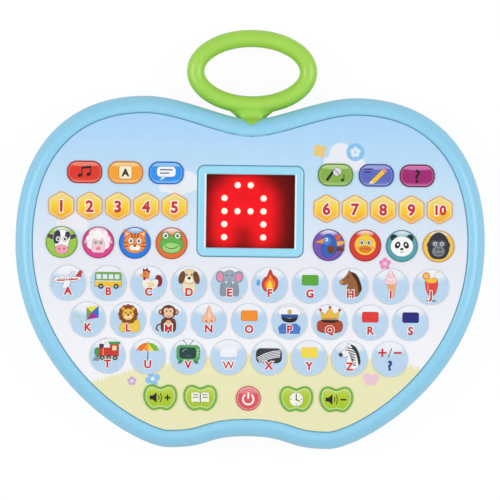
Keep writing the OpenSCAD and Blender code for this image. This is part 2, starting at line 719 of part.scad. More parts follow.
module small_screw(p, z, up) {
    translate([p[0], p[1], z]) mirror([0, 0, up ? 1 : 0]) difference() {
        union() {
            cylinder(r = 2, h = 1.4);
            translate([0, 0, -5]) cylinder(r = small_screw_r, h = 5.1);
        }
        translate([0, 0, 1.4]) for (a = [0, 90]) rotate(a) cube([2.6, 0.6, 1.4], center = true);
    }
}

speaker_x = 64 * spread_x;
speaker_y = 34;
speaker_z = floor_z + 0.5;
magnet_h = 5;
strip_h = 7.6;

// The basket, the magnet and the terminal strip of a loudspeaker that faces the back
module speaker_frame() {
    r = speaker_d / 2;
    color("#8b9096") translate([speaker_x, speaker_y, speaker_z]) {
        rotate_extrude() polygon([[r, 0], [r, 1.2], [r - 1.6, 1.2], [r - 8, strip_h],
            [r - 8.5, strip_h], [r - 8.5, strip_h + magnet_h], [0, strip_h + magnet_h], [0, 7],
            [r - 9.6, 7], [r - 2.6, 1.6], [r - 2.6, 0]]);
        translate([3 - r, -6, strip_h - 3]) cube([3.3, 12, 3]);
    }
}

module speaker_cone() {
    r = speaker_d / 2 - 2.95;
    color("#2e3033") translate([speaker_x, speaker_y, speaker_z]) rotate_extrude()
        polygon([[r, 0.6], [r, 1.1], [6, 6.1], [0, 6.1], [0, 5.6], [5.7, 5.6], [r - 0.6, 0.6]]);
}

// Power --------------------------------------------------------------------------------------------

contact_t = 0.4;
tab_l = 4.6;
cell_gap = 0.1;
cell_pitch = cell_d + 0.7;
bay_y = -35 * spread_down;
bay_l = cell_l + spring_l + 2 * contact_t + 2 * cell_gap;
bay_w = 2 * cell_pitch + cell_d + 1.7;
ledge_z = back_z + door_t + 0.1;
cell_z = ledge_z + 0.3 + cell_d / 2;
bay_top_z = cell_z + cell_d / 2 + 0.3;
door_w = bay_l + 21;
door_h = bay_w + 6;
door_corner = 2.3;
pocket_w = door_w + 2 * fit;
pocket_h = door_h + 2 * fit;
door_screw_x = door_w / 2 - 4;
knob_l = 1;

// The three cells lie side by side and point left and right in turn
module each_cell() {
    for (i = [-1, 0, 1]) translate([0, bay_y + i * cell_pitch, cell_z])
        mirror([i == 0 ? 1 : 0, 0, 0]) children();
}

module batteries() {
    back_end = -bay_l / 2 + contact_t + spring_l + cell_gap;
    color("#3c4650") each_cell() translate([back_end, 0, 0]) rotate([0, 90, 0]) {
        cylinder(d = cell_d, h = cell_l - knob_l);
        cylinder(d = 5.5, h = cell_l);
    }
}

// Per cell: a flat plate at the knob and a plate with a coil spring at the other end
module battery_contacts() {
    turns = 3.5;
    coil_steps = 9;
    coil_r = 4.6;
    wire_r = 0.35;
    run = spring_l - 2 * wire_r;
    taper = 1.2;
    color("#d0d4d8") {
        each_cell() {
            for (x = [-bay_l / 2, bay_l / 2 - contact_t]) translate([x, -5, -5]) cube([contact_t, 10, 10]);
            translate([-bay_l / 2 + contact_t - 0.1, 0, 0]) wire([for (i = [0:turns * coil_steps])
                let (a = 360 * i / coil_steps, share = i / (turns * coil_steps), r = coil_r - taper * share)
                [wire_r + run * share, r * cos(a), r * sin(a)]], wire_r, 5, 1);
        }
        for (s = [-1, 1]) translate([s * (bay_l / 2 + tab_l / 2 - 0.2), bay_y + s * cell_pitch, cell_z])
            cube([tab_l, 4, 0.6], center = true);
    }
}

module battery_door() {
    color("#86cdec") translate([0, bay_y, 0]) difference() {
        round_slab(door_w, door_h, door_corner, back_z, back_z + door_t);
        for (x = [-door_screw_x, door_screw_x]) {
            post(x, 0, screw_r + 0.25, back_z - 1, back_z + door_t + 1);
            post(x, 0, 2.75, back_z - 1, back_z + 1.5);
        }
        for (y = [-4, 0, 4]) translate([-12, door_h / 2 - 12 + y, back_z - 0.6]) cube([24, 1.6, 1.2]);
    }
}

module battery_door_screws() {
    color("#b9bec4") for (x = [-door_screw_x, door_screw_x]) difference() {
        union() {
            post(x, bay_y, 2.5, back_z + 0.2, back_z + 1.5);
            post(x, bay_y, screw_r, back_z + 1.4, ledge_z + 5);
        }
        cross_slot([x, bay_y], back_z + 0.2, 1.6);
    }
}

// Wiring -------------------------------------------------------------------------------------------

lead_r = 0.6;
ribbon_r = 0.35;
// The way into pin i of the lead socket, from the open side of the main board
function into_socket(i) = let (x = lead_x - 3 + 2 * i) [[x + 9, lead_y - 14 + 1.6 * i, 13],
    [x, lead_y - 6, 16.5], [x, lead_y, 16.8], [x, lead_y, socket_z + 1.5], [x, lead_y, socket_z + 0.05]];

// Two leads from the cells, two from the loudspeaker and the ribbon of the display
module wire_harness() {
    tab_x = bay_l / 2 + tab_l - 0.15;
    behind = bay_y + bay_w / 2 + 8;
    aisle_x = (main_board_x + main_board_w / 2 - tab_x) / 2;
    speaker_tab = [speaker_x - speaker_d / 2 + 4.6, speaker_y, speaker_z + strip_h + 0.05];
    color("#c8352c") {
        wire(concat([[-tab_x, bay_y - cell_pitch, cell_z], [-tab_x - 4, bay_y - cell_pitch, cell_z],
            [-tab_x - 12, lead_y - 18, 12]], into_socket(0)), lead_r);
        wire(concat([[tab_x, bay_y + cell_pitch, cell_z], [tab_x + 4, bay_y + cell_pitch, cell_z],
            [tab_x + 4, behind - 3, 9], [tab_x - 4, behind, 7], [-tab_x, behind, 7],
            [aisle_x + 2.3, behind - 9, 7], [aisle_x - 1.7, lead_y - 8, 8]], into_socket(1)), lead_r);
    }
    color("#2b2d30") for (i = [0, 1]) wire(concat([speaker_tab + [0, 8 * i - 4, 0],
        speaker_tab + [0, 8 * i - 4, 2], speaker_tab + [-7, 4 * i - 8, 0],
        [tab_x - 8, behind + 5 + 2 * i, 7], [-tab_x + 4, behind + 5 + 2 * i, 7],
        [aisle_x + 0.3 - 2 * i, behind - 6, 9], [aisle_x - 2.9 - 1.6 * i, lead_y - 5 + 1.8 * i, 9]],
        into_socket(2 + i)), lead_r);
    color("#9aa0a6") for (i = [0:5]) let (y = ribbon_y - 3.25 + 1.3 * i, x = 4 - lamp_board_w / 2)
        wire([[x, y + 20, lamp_board_z - 0.05], [x, y + 20, lamp_board_z - 3], [x - 9, y + 14, 11],
            [ribbon_x + 8, y + 2, 16], [ribbon_x, y, 17], [ribbon_x, y, socket_z + 1.5],
            [ribbon_x, y, socket_z + 0.05]], ribbon_r);
}

on_base() front_shell();
on_base() rear_shell();
on_base() carry_handle();
on_base() panel_overlay();
on_base() keypad_membrane();
on_base() display_window();
on_base() display_board();
on_base() display_lamps();
on_base() main_board();
on_base() speaker_frame();
on_base() speaker_cone();
on_base() battery_door();
on_base() battery_door_screws();
on_base() batteries();
on_base() battery_contacts();
on_base() housing_screws();
on_base() rubber_feet();
on_base() wire_harness();
on_base() number_keys(-1);  // number_keys_left
on_base() number_keys(1);  // number_keys_right
on_base() animal_keys(-1);  // animal_keys_left
on_base() animal_keys(1);  // animal_keys_right
for (i = [0:len(LETTERS) - 1])
    on_base() letter_key(i);
for (i = [0:len(MODES) - 1])
    on_base() mode_key(i);
for (i = [0:len(APPLES) - 1])
    on_base() apple_key(i);
on_base() power_key();  // key_power
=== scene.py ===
"""The looks of an apple-shaped toy learning computer: a sky-blue moulded case with a green handle, a
printed panel with fifty-six keys, and a red five by five lamp display.

Sizes are in millimetres of the panel's plan, whose middle is the middle of the panel. place() turns them
into metres of the frame, whose origin lies under the middle of the footprint.
"""

import logging
import math
from collections.abc import Iterable, Sequence
from dataclasses import dataclass
from enum import Enum
from functools import cache

import bmesh
import bpy
from mathutils import Matrix, Vector, geometry
from mathutils.bvhtree import BVHTree


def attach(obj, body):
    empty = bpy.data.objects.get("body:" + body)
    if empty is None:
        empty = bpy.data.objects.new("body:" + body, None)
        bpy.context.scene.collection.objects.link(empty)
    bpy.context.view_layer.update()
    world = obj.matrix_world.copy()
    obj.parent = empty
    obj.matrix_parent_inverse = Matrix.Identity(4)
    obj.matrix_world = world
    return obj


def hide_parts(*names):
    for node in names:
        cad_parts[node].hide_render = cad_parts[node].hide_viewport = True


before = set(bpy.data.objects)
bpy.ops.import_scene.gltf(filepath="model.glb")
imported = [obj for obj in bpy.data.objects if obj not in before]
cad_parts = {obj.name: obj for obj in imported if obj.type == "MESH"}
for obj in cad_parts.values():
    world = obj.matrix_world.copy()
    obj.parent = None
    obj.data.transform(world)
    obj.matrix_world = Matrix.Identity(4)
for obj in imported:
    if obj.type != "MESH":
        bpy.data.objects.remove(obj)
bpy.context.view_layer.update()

LOG = logging.getLogger("learning_pad")
MM = 0.001
FOOTPRINT_Y = 16.45
UV_SPAN = 24.0
SHARP = 35.0
DISPLAY_Y = 30.5

Point = tuple[float, float]
Plan = list[Point]
Colour = tuple[float, float, float, float]
Tree = bpy.types.NodeTree
Socket = bpy.types.NodeSocket


def place(x: float, y: float, z: float) -> Vector:
    """Turn a point of the panel's plan into the frame.

    Args:
        x: millimetres to the right of the panel's middle.
        y: millimetres above the panel's middle, towards the handle.
        z: millimetres above the surface that the feet stand on.

    Returns:
        The point in metres.
    """
    return Vector((x, y - FOOTPRINT_Y, z)) * MM


def linear(ink: str) -> Colour:
    """Turn an sRGB hex colour into the linear one that the renderer works in.

    Args:
        ink: a colour such as "#9fdcf4".

    Returns:
        Red, green, blue and a full alpha.
    """
    parts = [int(ink[i : i + 2], 16) / 255 for i in (1, 3, 5)]
    red, green, blue = (
        p / 12.92 if p <= 0.04045 else ((p + 0.055) / 1.055) ** 2.4 for p in parts
    )
    return (red, green, blue, 1.0)


def add(
    tree: Tree,
    kind: str,
    inputs: dict[str | int, object] | None = None,
    **settings: object,
) -> bpy.types.Node:
    """Add one node with its settings, its values and its links.

    Args:
        tree: the tree that gets the node.
        kind: the node's type name.
        inputs: a value or another node's output for each input, by name or number.
        settings: the node's own properties.

    Returns:
        The new node.
    """
    node = tree.nodes.new(kind)
    for name, value in settings.items():
        setattr(node, name, value)
    for key, value in (inputs or {}).items():
        if isinstance(value, Socket):
            tree.links.new(value, node.inputs[key])
        else:
            node.inputs[key].default_value = value
    return node


def plain_mesh(made: bpy.types.Object, name: str) -> bpy.types.Object:
    """Turn an object with live modifiers into a new one with a plain mesh, and drop the old one.

    Args:
        made: the object whose modifiers are to be carried out.
        name: the new object's name.

    Returns:
        The new object, at the origin.
    """
    graph = bpy.context.evaluated_depsgraph_get()
    mesh = bpy.data.meshes.new_from_object(made.evaluated_get(graph))
    bpy.data.objects.remove(made)
    mesh.name = name
    return shown(mesh, name)


def shown(mesh: bpy.types.Mesh, name: str) -> bpy.types.Object:
    """Put a mesh into the scene as an object at the origin."""
    piece = bpy.data.objects.new(name, mesh)
    bpy.context.scene.collection.objects.link(piece)
    return piece


def register(piece: bpy.types.Object, body: str, replaced: Iterable[str] = ()) -> None:
    """Let a finished piece ride on its body and what it stands for, and report it.

    Args:
        piece: the finished piece.
        body: the body that it moves with.
        replaced: the nodes of the frame that it is shown for.
    """
    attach(piece, body)
    if replaced:
        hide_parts(*replaced)
    LOG.info("%s rides on %s, %d faces", piece.name, body, len(piece.data.polygons))


# Sizes ----------------------------------------------------------------------------------------------


@dataclass(frozen=True)
class Levels:
    """Heights above the surface that the toy lies on."""

    parting: float = 14.0
    plate_under: float = 22.7
    lens_top: float = 24.2
    plate: float = 24.7
    lip: float = 25.7
    panel: float = 26.9
    key: float = 27.5
    crest: float = 28.0


LEVELS = Levels()


@dataclass(frozen=True)
class HalfOutline:
    """The right half of a mirrored outline: cubic curves from its top dip round to its bottom dip."""

    curves: tuple[tuple[Point, Point, Point, Point], ...]
    steps: tuple[int, ...]

    @staticmethod
    def _moved_in(c: tuple[Point, Point, Point, Point], t: float, inset: float) -> Point:
        """One point of a curve, moved towards the inside."""
        s = 1 - t
        x, y = (
            c[0][k] * s**3 + 3 * c[1][k] * t * s * s + 3 * c[2][k] * t * t * s + c[3][k] * t**3
            for k in (0, 1)
        )
        run_x, run_y = (
            (c[1][k] - c[0][k]) * s * s + 2 * (c[2][k] - c[1][k]) * t * s + (c[3][k] - c[2][k]) * t * t
            for k in (0, 1)
        )
        run = math.hypot(run_x, run_y)
        return x + run_y * inset / run, y - run_x * inset / run

    def plan(self, inset: float = 0.0) -> Plan:
        """Draw the closed outline.

        Args:
            inset: how far to move it towards the inside.

        Returns:
            The outline's points, in order.
        """
        half = [
            self._moved_in(curve, i / count, inset)
            for curve, count in zip(self.curves, self.steps, strict=True)
            for i in range(count)
        ]
        foot = self._moved_in(self.curves[-1], 1.0, inset)
        return half + [foot] + [(-x, y) for x, y in reversed(half[1:])]


def apple_key_outline(w: float, h: float) -> HalfOutline:
    """The outline of an apple-shaped key of a given width and height."""
    dip, dent = 1.3, 0.7
    top, low = h / 2, -h / 2
    return HalfOutline(
        (
            ((0, top - dip), (w * 0.1, top - dip), (w * 0.14, top), (w * 0.26, top)),
            ((w * 0.26, top), (w * 0.42, top), (w / 2, h * 0.3), (w / 2, h * 0.06)),
            ((w / 2, h * 0.06), (w / 2, -h * 0.22), (w * 0.32, low), (w * 0.19, low)),
            ((w * 0.19, low), (w * 0.12, low), (w * 0.07, low + dent), (0, low + dent)),
        ),
        (7, 10, 10, 7),
    )


CASE = HalfOutline(
    (
        ((0, 77.5), (13.3, 77.5), (35.2, 89), (53.8, 89)),
        ((53.8, 89), (93.8, 89), (120, 62.5), (120, 14.6)),
        ((120, 14.6), (120, -55.6), (57, -90.6), (40.9, -90.6)),
        ((40.9, -90.6), (18.5, -90.6), (22.2, -84.5), (0, -84.5)),
    ),
    (14, 30, 42, 18),
)


def on_circle(
    count: int, radius: float, x: float = 0.0, y: float = 0.0, first: float = 0.0
) -> Plan:
    """Give points spaced evenly round a circle.

    Args:
        count: how many.
        radius: the circle's radius.
        x: its middle's place across.
        y: its middle's place along.
        first: the direction in degrees of the first point.

    Returns:
        The points, anticlockwise.
    """
    turns = (math.radians(first) + math.tau * i / count for i in range(count))
    return [(x + radius * math.cos(a), y + radius * math.sin(a)) for a in turns]


def quarter(steps: int) -> Plan:
    """Give 1 - cos a and 1 - sin a for the angles of a quarter turn in even steps."""
    turns = (math.pi / 2 * i / steps for i in range(steps + 1))
    return [(1 - math.cos(a), 1 - math.sin(a)) for a in turns]


def round_plan(centres: Sequence[Point], radius: float, first: float, turn: float, steps: int) -> Plan:
    """Draw an outline whose corners are arcs.

    Args:
        centres: the middle of each corner's arc, anticlockwise.
        radius: the radius of the arcs.
        first: the direction in degrees in which the first arc starts.
        turn: how far in degrees each arc turns.
        steps: the number of steps of each arc.

    Returns:
        The outline's points, in order.
    """
    return [
        (x + radius * math.cos(a), y + radius * math.sin(a))
        for k, (x, y) in enumerate(centres)
        for a in (math.radians(first + turn * (k + i / steps)) for i in range(steps + 1))
    ]


def box_plan(w: float, h: float, radius: float, steps: int = 8) -> Plan:
    """Draw a rectangle with round corners."""
    x, y = w / 2 - radius, h / 2 - radius
    return round_plan([(x, y), (-x, y), (-x, -y), (x, -y)], radius, 0, 90, steps)


LEAST_CORNER = 0.2
ROUND_STEPS = 48


class KeyShape(Enum):
    """The six shapes of key, each by its size and the radius of its corners."""

    LETTER = (18.0, 18.0, 9.0)
    ANIMAL = (15.9, 15.9, 7.95)
    POWER = (12.3, 12.3, 6.15)
    NUMBER = (12.7, 14.4, 2.0)
    MODE = (17.6, 11.2, 5.0)
    APPLE = (17.0, 12.8, 0.0)

    def plan(self, inset: float = 0.0) -> Plan:
        """Draw the key's outline.

        Args:
            inset: how far to move it towards the inside.

        Returns:
            The outline's points, in order.
        """
        w, h, corner = self.value
        match self:
            case KeyShape.APPLE:
                return apple_key_outline(w, h).plan(inset)
            case KeyShape.NUMBER:
                sides, half_side = 6, 30
                reach = (w / 2 - corner) / math.cos(math.radians(half_side))
                middles = on_circle(sides, reach, first=half_side)
                return round_plan(middles, max(corner - inset, LEAST_CORNER), 0, 2 * half_side, 5)
            case KeyShape.MODE:
                return box_plan(w - 2 * inset, h - 2 * inset, corner - inset)
            case _:
                return on_circle(ROUND_STEPS, w / 2 - inset)


@dataclass(frozen=True)
class Row:
    """A row of keys that leaves its middle free."""

    each_side: int
    innermost: float
    pitch: float
    y: float

    def places(self) -> Plan:
        """Give the places of its keys from left to right."""
        right = [(self.innermost + i * self.pitch, self.y) for i in range(self.each_side)]
        return [(-x, y) for x, y in reversed(right)] + right


# Making meshes --------------------------------------------------------------------------------------


class Draft:
    """A piece in the making: points of the panel's plan with their heights, and faces between them."""

    def __init__(self) -> None:
        """Start with nothing."""
        self.points: list[tuple[float, float, float]] = []
        self.insets: list[float] = []
        self.prints: list[Point] = []
        self.faces: list[tuple[int, ...]] = []
        self.looks: list[int] = []
        self.inks: list[Colour] = []
        self.flat: list[bool] = []
        self.sheets: list[bool] = []

    def ring(self, plan: Plan, z: float, home: Point = (0.0, 0.0), inset: float = 0.0) -> list[int]:
        """Add the points of an outline at one height.

        Args:
            plan: the outline, round its home.
            z: its height.
            home: where the outline's own origin lies on the panel.
            inset: how far inside the edge of its key it runs.

        Returns:
            The numbers of the new points.
        """
        start = len(self.points)
        self.points += [(x + home[0], y + home[1], z) for x, y in plan]
        self.insets += [inset] * len(plan)
        self.prints += [(x / UV_SPAN + 0.5, y / UV_SPAN + 0.5) for x, y in plan]
        return list(range(start, len(self.points)))

    def face(
        self, corners: Sequence[int], look: int = 0, ink: str = "#ffffff", flat: bool = False,
        sheet: bool = False,
    ) -> None:
        """Add one face.

        Args:
            corners: the numbers of its points.
            look: which of the piece's materials it takes.
            ink: the colour printed on it.
            flat: whether it is shaded flat, as a plane is.
            sheet: whether it is part of a printed layer and faces up.
        """
        self.faces.append(tuple(corners))
        self.looks.append(look)
        self.inks.append(linear(ink))
        self.flat.append(flat)
        self.sheets.append(sheet)

    def wall(self, first: Sequence[int], second: Sequence[int], **face_kind: object) -> None:
        """Join two rings of as many points each with a band of faces of one kind."""
        for i in range(len(first)):
            j = (i + 1) % len(first)
            self.face((first[i], first[j], second[j], second[i]), **face_kind)

    def skin(self, rings: Sequence[Sequence[int]], look: int = 0) -> None:
        """Join rings in their order with bands of faces."""
        for first, second in zip(rings, rings[1:], strict=False):
            self.wall(first, second, look=look)

    def cap(self, outer: Sequence[int], holes: Sequence[Sequence[int]] = (), look: int = 0) -> None:
        """Close a ring with flat faces that leave its holes open.

        Args:
            outer: the ring.
            holes: rings inside it.
            look: which of the piece's materials the faces take.
        """
        loops = [list(outer), *[list(h) for h in holes]]
        order = [i for loop in loops for i in loop]
        plans = [[Vector((self.points[i][0], self.points[i][1], 0)) for i in loop] for loop in loops]
        for corners in geometry.tessellate_polygon(plans):
            self.face([order[c] for c in corners], look, flat=True)

    def build(
        self, name: str, materials: Sequence[bpy.types.Material], sharp: float = SHARP
    ) -> bpy.types.Object:
        """Make the mesh, with solids facing outwards and printed layers facing up.

        Args:
            name: the piece's name.
            materials: its materials, in the order of the faces' looks.
            sharp: the angle in degrees past which an edge is shaded sharp.

        Returns:
            The new object.
        """
        mesh = bpy.data.meshes.new(name)
        mesh.from_pydata([place(*p) for p in self.points], [], self.faces)
        body = bmesh.new()
        body.from_mesh(mesh)
        body.faces.ensure_lookup_table()
        body.normal_update()
        solid = [f for f in body.faces if not self.sheets[f.index]]
        bmesh.ops.recalc_face_normals(body, faces=solid)
        upside_down = [f for f in body.faces if self.sheets[f.index] and f.normal.z < 0]
        bmesh.ops.reverse_faces(body, faces=upside_down)
        body.to_mesh(mesh)
        body.free()
        for material in materials:
            mesh.materials.append(material)
        mesh.polygons.foreach_set("material_index", self.looks)
        mesh.polygons.foreach_set("use_smooth", [not f for f in self.flat])
        mesh.set_sharp_from_angle(angle=math.radians(sharp))
        mesh.uv_layers.new(name="print")
        mesh.color_attributes.new("ink", "FLOAT_COLOR", "CORNER")
        mesh.attributes.new("inset", "FLOAT", "POINT")
        corners = [c for p in mesh.polygons for c in p.loop_indices]
        owners = [p.index for p in mesh.polygons for _ in p.loop_indices]
        spots = [0.0] * (2 * len(corners))
        inks = [0.0] * (4 * len(corners))
        for corner, owner in zip(corners, owners, strict=True):
            spots[2 * corner : 2 * corner + 2] = self.prints[mesh.loops[corner].vertex_index]
            inks[4 * corner : 4 * corner + 4] = self.inks[owner]
        mesh.uv_layers["print"].data.foreach_set("uv", spots)
        mesh.color_attributes["ink"].data.foreach_set("color", inks)
        mesh.attributes["inset"].data.foreach_set("value", self.insets)
        return shown(mesh, name)


# Finishes -------------------------------------------------------------------------------------------

Paint = Socket | Colour
WAVE_PITCH_MM = 314.0  # from one band to the next where the scale is 1
NOISE_LOW, NOISE_HIGH = 0.3, 0.7  # most of the noise lies between these
CLOUD_DETAIL, GRAIN_DETAIL = 3.0, 2.0
FAR = 99.0  # farther than any puff reaches, in millimetres


def mix(tree: Tree, share: Socket, first: Paint, second: Paint) -> Socket:
    """Mix two colours: the first where the share is 0, the second where it is 1."""
    first_input, second_input, output = 6, 7, 2
    inputs = {0: share, first_input: first, second_input: second}
    return add(tree, "ShaderNodeMix", inputs, data_type="RGBA").outputs[output]


def reckon(tree: Tree, operation: str, *terms: Socket | float) -> Socket:
    """Work one number out from others."""
    return add(tree, "ShaderNodeMath", dict(enumerate(terms)), operation=operation).outputs[0]


def reckon_spot(tree: Tree, operation: str, *terms: Socket | tuple[float, float, float]) -> Socket:
    """Work one spot out from others."""
    return add(tree, "ShaderNodeVectorMath", dict(enumerate(terms)), operation=operation).outputs[0]


def span(
    tree: Tree, value: Socket, low: float = 0.0, high: float = 1.0, at_low: float = 0.0,
    at_high: float = 1.0,
) -> Socket:
    """Turn a number from low to high into one from at_low to at_high, which goes no further."""
    ends = {"From Min": low, "From Max": high, "To Min": at_low, "To Max": at_high}
    return add(tree, "ShaderNodeMapRange", {"Value": value, **ends}).outputs["Result"]


def noise(tree: Tree, spot: Socket, size: float, detail: float) -> Socket:
    """Give soft clouds of one size, from 0 to 1."""
    inputs = {"Vector": spot, "Scale": 1 / size, "Detail": detail}
    return add(tree, "ShaderNodeTexNoise", inputs).outputs["Fac"]


def bands(tree: Tree, spot: Socket, pitch_mm: float, axis: str) -> Socket:
    """Give bands side by side along an axis, each from 0 to 1 and back."""
    inputs = {"Vector": spot, "Scale": WAVE_PITCH_MM / pitch_mm}
    wave = add(tree, "ShaderNodeTexWave", inputs, wave_type="BANDS", bands_direction=axis)
    return wave.outputs["Fac"]


def tone_ramp(tree: Tree, along: Socket, tones: Sequence[tuple[float, str]]) -> Socket:
    """Run through tones along a length.

    Args:
        tree: the material's tree.
        along: how far along the length a spot lies.
        tones: places on the length with the tone at each, in order.

    Returns:
        The output that carries the colour.
    """
    low, high = tones[0][0], tones[-1][0]
    ramp = add(tree, "ShaderNodeValToRGB", {"Fac": span(tree, along, low, high)})
    elements = ramp.color_ramp.elements
    while len(elements) < len(tones):
        elements.new(0.5)
    for element, (where, ink) in zip(elements, tones, strict=True):
        element.position = (where - low) / (high - low)
        element.color = linear(ink)
    return ramp.outputs["Color"]


@dataclass(frozen=True)
class Finish:
    """What a material shows: its colour, its gloss, and the unevenness that its making leaves in it."""

    name: str
    colour: str
    roughness: float = 0.4
    metallic: float = 0.0
    specular: float = 0.5
    mottle: float = 0.04
    mottle_mm: float = 14.0
    grain_mm: float = 0.9
    gloss_spread: float = 0.05
    relief: float = 0.04
    relief_mm: float = 0.1

    def tint(self, tree: Tree, spot: Socket) -> Paint:
        """Give the even colour at a spot: one for the whole material, unless it has a pattern."""
        return linear(self.colour)

    def glow(self, colour: Socket) -> dict[str, object]:
        """Give the inputs with which the material shines by itself: none, unless it is lit."""
        return {}

    def paint(self, tree: Tree, spot: Socket) -> Socket:
        """Give the colour at a spot: the tint, a little lighter and darker in places.

        Args:
            tree: the material's tree.
            spot: the spot in metres of the frame.

        Returns:
            The output that carries the colour.
        """
        cloud = noise(tree, spot, self.mottle_mm * MM, CLOUD_DETAIL)
        share = span(tree, cloud, NOISE_LOW, NOISE_HIGH, 1 - self.mottle, 1 + self.mottle)
        inputs = {"Color": self.tint(tree, spot), "Value": share}
        return add(tree, "ShaderNodeHueSaturation", inputs).outputs["Color"]

    def material(self) -> bpy.types.Material:
        """Build the material.

        Returns:
            A material that any piece can wear.
        """
        material = bpy.data.materials.new(self.name)
        material.use_nodes = True
        tree = material.node_tree
        tree.nodes.clear()
        spot = add(tree, "ShaderNodeTexCoord").outputs["Object"]
        colour = self.paint(tree, spot)
        grain = noise(tree, spot, self.grain_mm * MM, GRAIN_DETAIL)
        rough, uneven = self.roughness, self.gloss_spread
        bump = {"Height": grain, "Strength": self.relief, "Distance": self.relief_mm * MM}
        shader = add(tree, "ShaderNodeBsdfPrincipled", {
            "Base Color": colour, "Metallic": self.metallic, "Specular IOR Level": self.specular,
            "Roughness": span(tree, grain, at_low=rough - uneven, at_high=rough + uneven),
            "Normal": add(tree, "ShaderNodeBump", bump).outputs["Normal"],
            **self.glow(colour),
        })
        add(tree, "ShaderNodeOutputMaterial", {"Surface": shader.outputs["BSDF"]})
        return material


@dataclass(frozen=True)
class MouldedABS(Finish):
    """ABS, injection moulded: satin and evenly coloured, with the fine skin of a spark-eroded mould.

    The eye gets wide, soft highlights that wash the blue out where it turns towards a light.
    """

    roughness: float = 0.34
    specular: float = 0.9
    mottle: float = 0.015
    mottle_mm: float = 30.0
    relief: float = 0.05


@dataclass(frozen=True)
class MouldedPolypropylene(Finish):
    """Polypropylene, injection moulded: waxy, a little cloudy where the melt flowed round the ring.

    The eye gets a soft sheen along the bar and a green that is never quite even.
    """

    roughness: float = 0.36
    specular: float = 0.9
    mottle: float = 0.03
    mottle_mm: float = 18.0


@dataclass(frozen=True)
class StampedSteel(Finish):
    """Steel sheet, rolled and stamped: grey and bright, streaked finely along the roll."""

    roughness: float = 0.32
    metallic: float = 1.0
    mottle: float = 0.08
    mottle_mm: float = 2.0
    grain_mm: float = 0.3
    streak_length: float = 20.0

    def paint(self, tree: Tree, spot: Socket) -> Socket:
        """Give the colour at a spot: streaks many times as long as they are wide."""
        squeeze = (1 / self.streak_length, 1.0, 1.0)
        drawn_out = add(tree, "ShaderNodeMapping", {"Vector": spot, "Scale": squeeze})
        return super().paint(tree, drawn_out.outputs["Vector"])


@dataclass(frozen=True)
class ZincPlatedSteel(Finish):
    """Steel screws, headed, rolled and zinc plated: bright, with the faint dull patches of the bath."""

    roughness: float = 0.3
    metallic: float = 1.0
    mottle: float = 0.1
    mottle_mm: float = 1.2
    grain_mm: float = 0.25


@dataclass(frozen=True)
class GlassEpoxyLaminate(Finish):
    """Woven glass in epoxy, pressed and lacquered: a satin board in which the weave shows as a grid."""

    roughness: float = 0.3
    weave: str = "#262b2e"
    weave_mm: float = 0.8

    def tint(self, tree: Tree, spot: Socket) -> Paint:
        """Give the colour at a spot: lighter and darker squares where the bundles of glass cross."""
        inks = {"Color1": linear(self.colour), "Color2": linear(self.weave)}
        inputs = {"Vector": spot, "Scale": 1 / (self.weave_mm * MM), **inks}
        return add(tree, "ShaderNodeTexChecker", inputs).outputs["Color"]


@dataclass(frozen=True)
class CastEpoxy(Finish):
    """Clear epoxy, cast round a diode: a smooth, wet-looking dome over a milky body."""

    roughness: float = 0.12
    mottle: float = 0.06
    mottle_mm: float = 1.0
    relief: float = 0.0


@dataclass(frozen=True)
class PulpPaper(Finish):
    """Paper pulp, felted on a screen and dried: matt and fibrous, speckled from light to dark."""

    roughness: float = 0.85
    mottle: float = 0.3
    mottle_mm: float = 0.6
    grain_mm: float = 0.35
    relief: float = 0.4


@dataclass(frozen=True)
class ShrinkFilm(Finish):
    """PVC film, printed and shrunk on a cell: glossy, in broad plain rings round the cell's length."""

    second: str = "#c9a24b"
    ring_mm: float = 34.0
    roughness: float = 0.22

    def tint(self, tree: Tree, spot: Socket) -> Paint:
        """Give the colour at a spot: two colours in turn along the cells."""
        step = reckon(tree, "GREATER_THAN", bands(tree, spot, self.ring_mm, "X"), 0.5)
        return mix(tree, step, linear(self.colour), linear(self.second))


@dataclass(frozen=True)
class MouldedRubber(Finish):
    """Soft rubber, die cut from a moulded sheet: matt and dusty, with a leathery pebble."""

    roughness: float = 0.8
    mottle: float = 0.15
    mottle_mm: float = 1.5
    grain_mm: float = 0.5
    relief: float = 0.5


@dataclass(frozen=True)
class ExtrudedPVC(Finish):
    """Soft PVC, extruded over a wire: bright and satin, faintly ringed by the drawing."""

    roughness: float = 0.35
    mottle: float = 0.08
    mottle_mm: float = 1.0


@dataclass(frozen=True)
class CoatedPolyesterFilm(Finish):
    """Polyester film with printed carbon tracks: smooth, buff, crossed by fine darker lines."""

    track: str = "#8a806a"
    track_mm: float = 2.5
    roughness: float = 0.3

    def tint(self, tree: Tree, spot: Socket) -> Paint:
        """Give the colour at a spot: tracks side by side across the film."""
        tones = ((0.7, self.colour), (0.85, self.track), (1.0, self.track))
        return tone_ramp(tree, bands(tree, spot, self.track_mm, "Y"), tones)


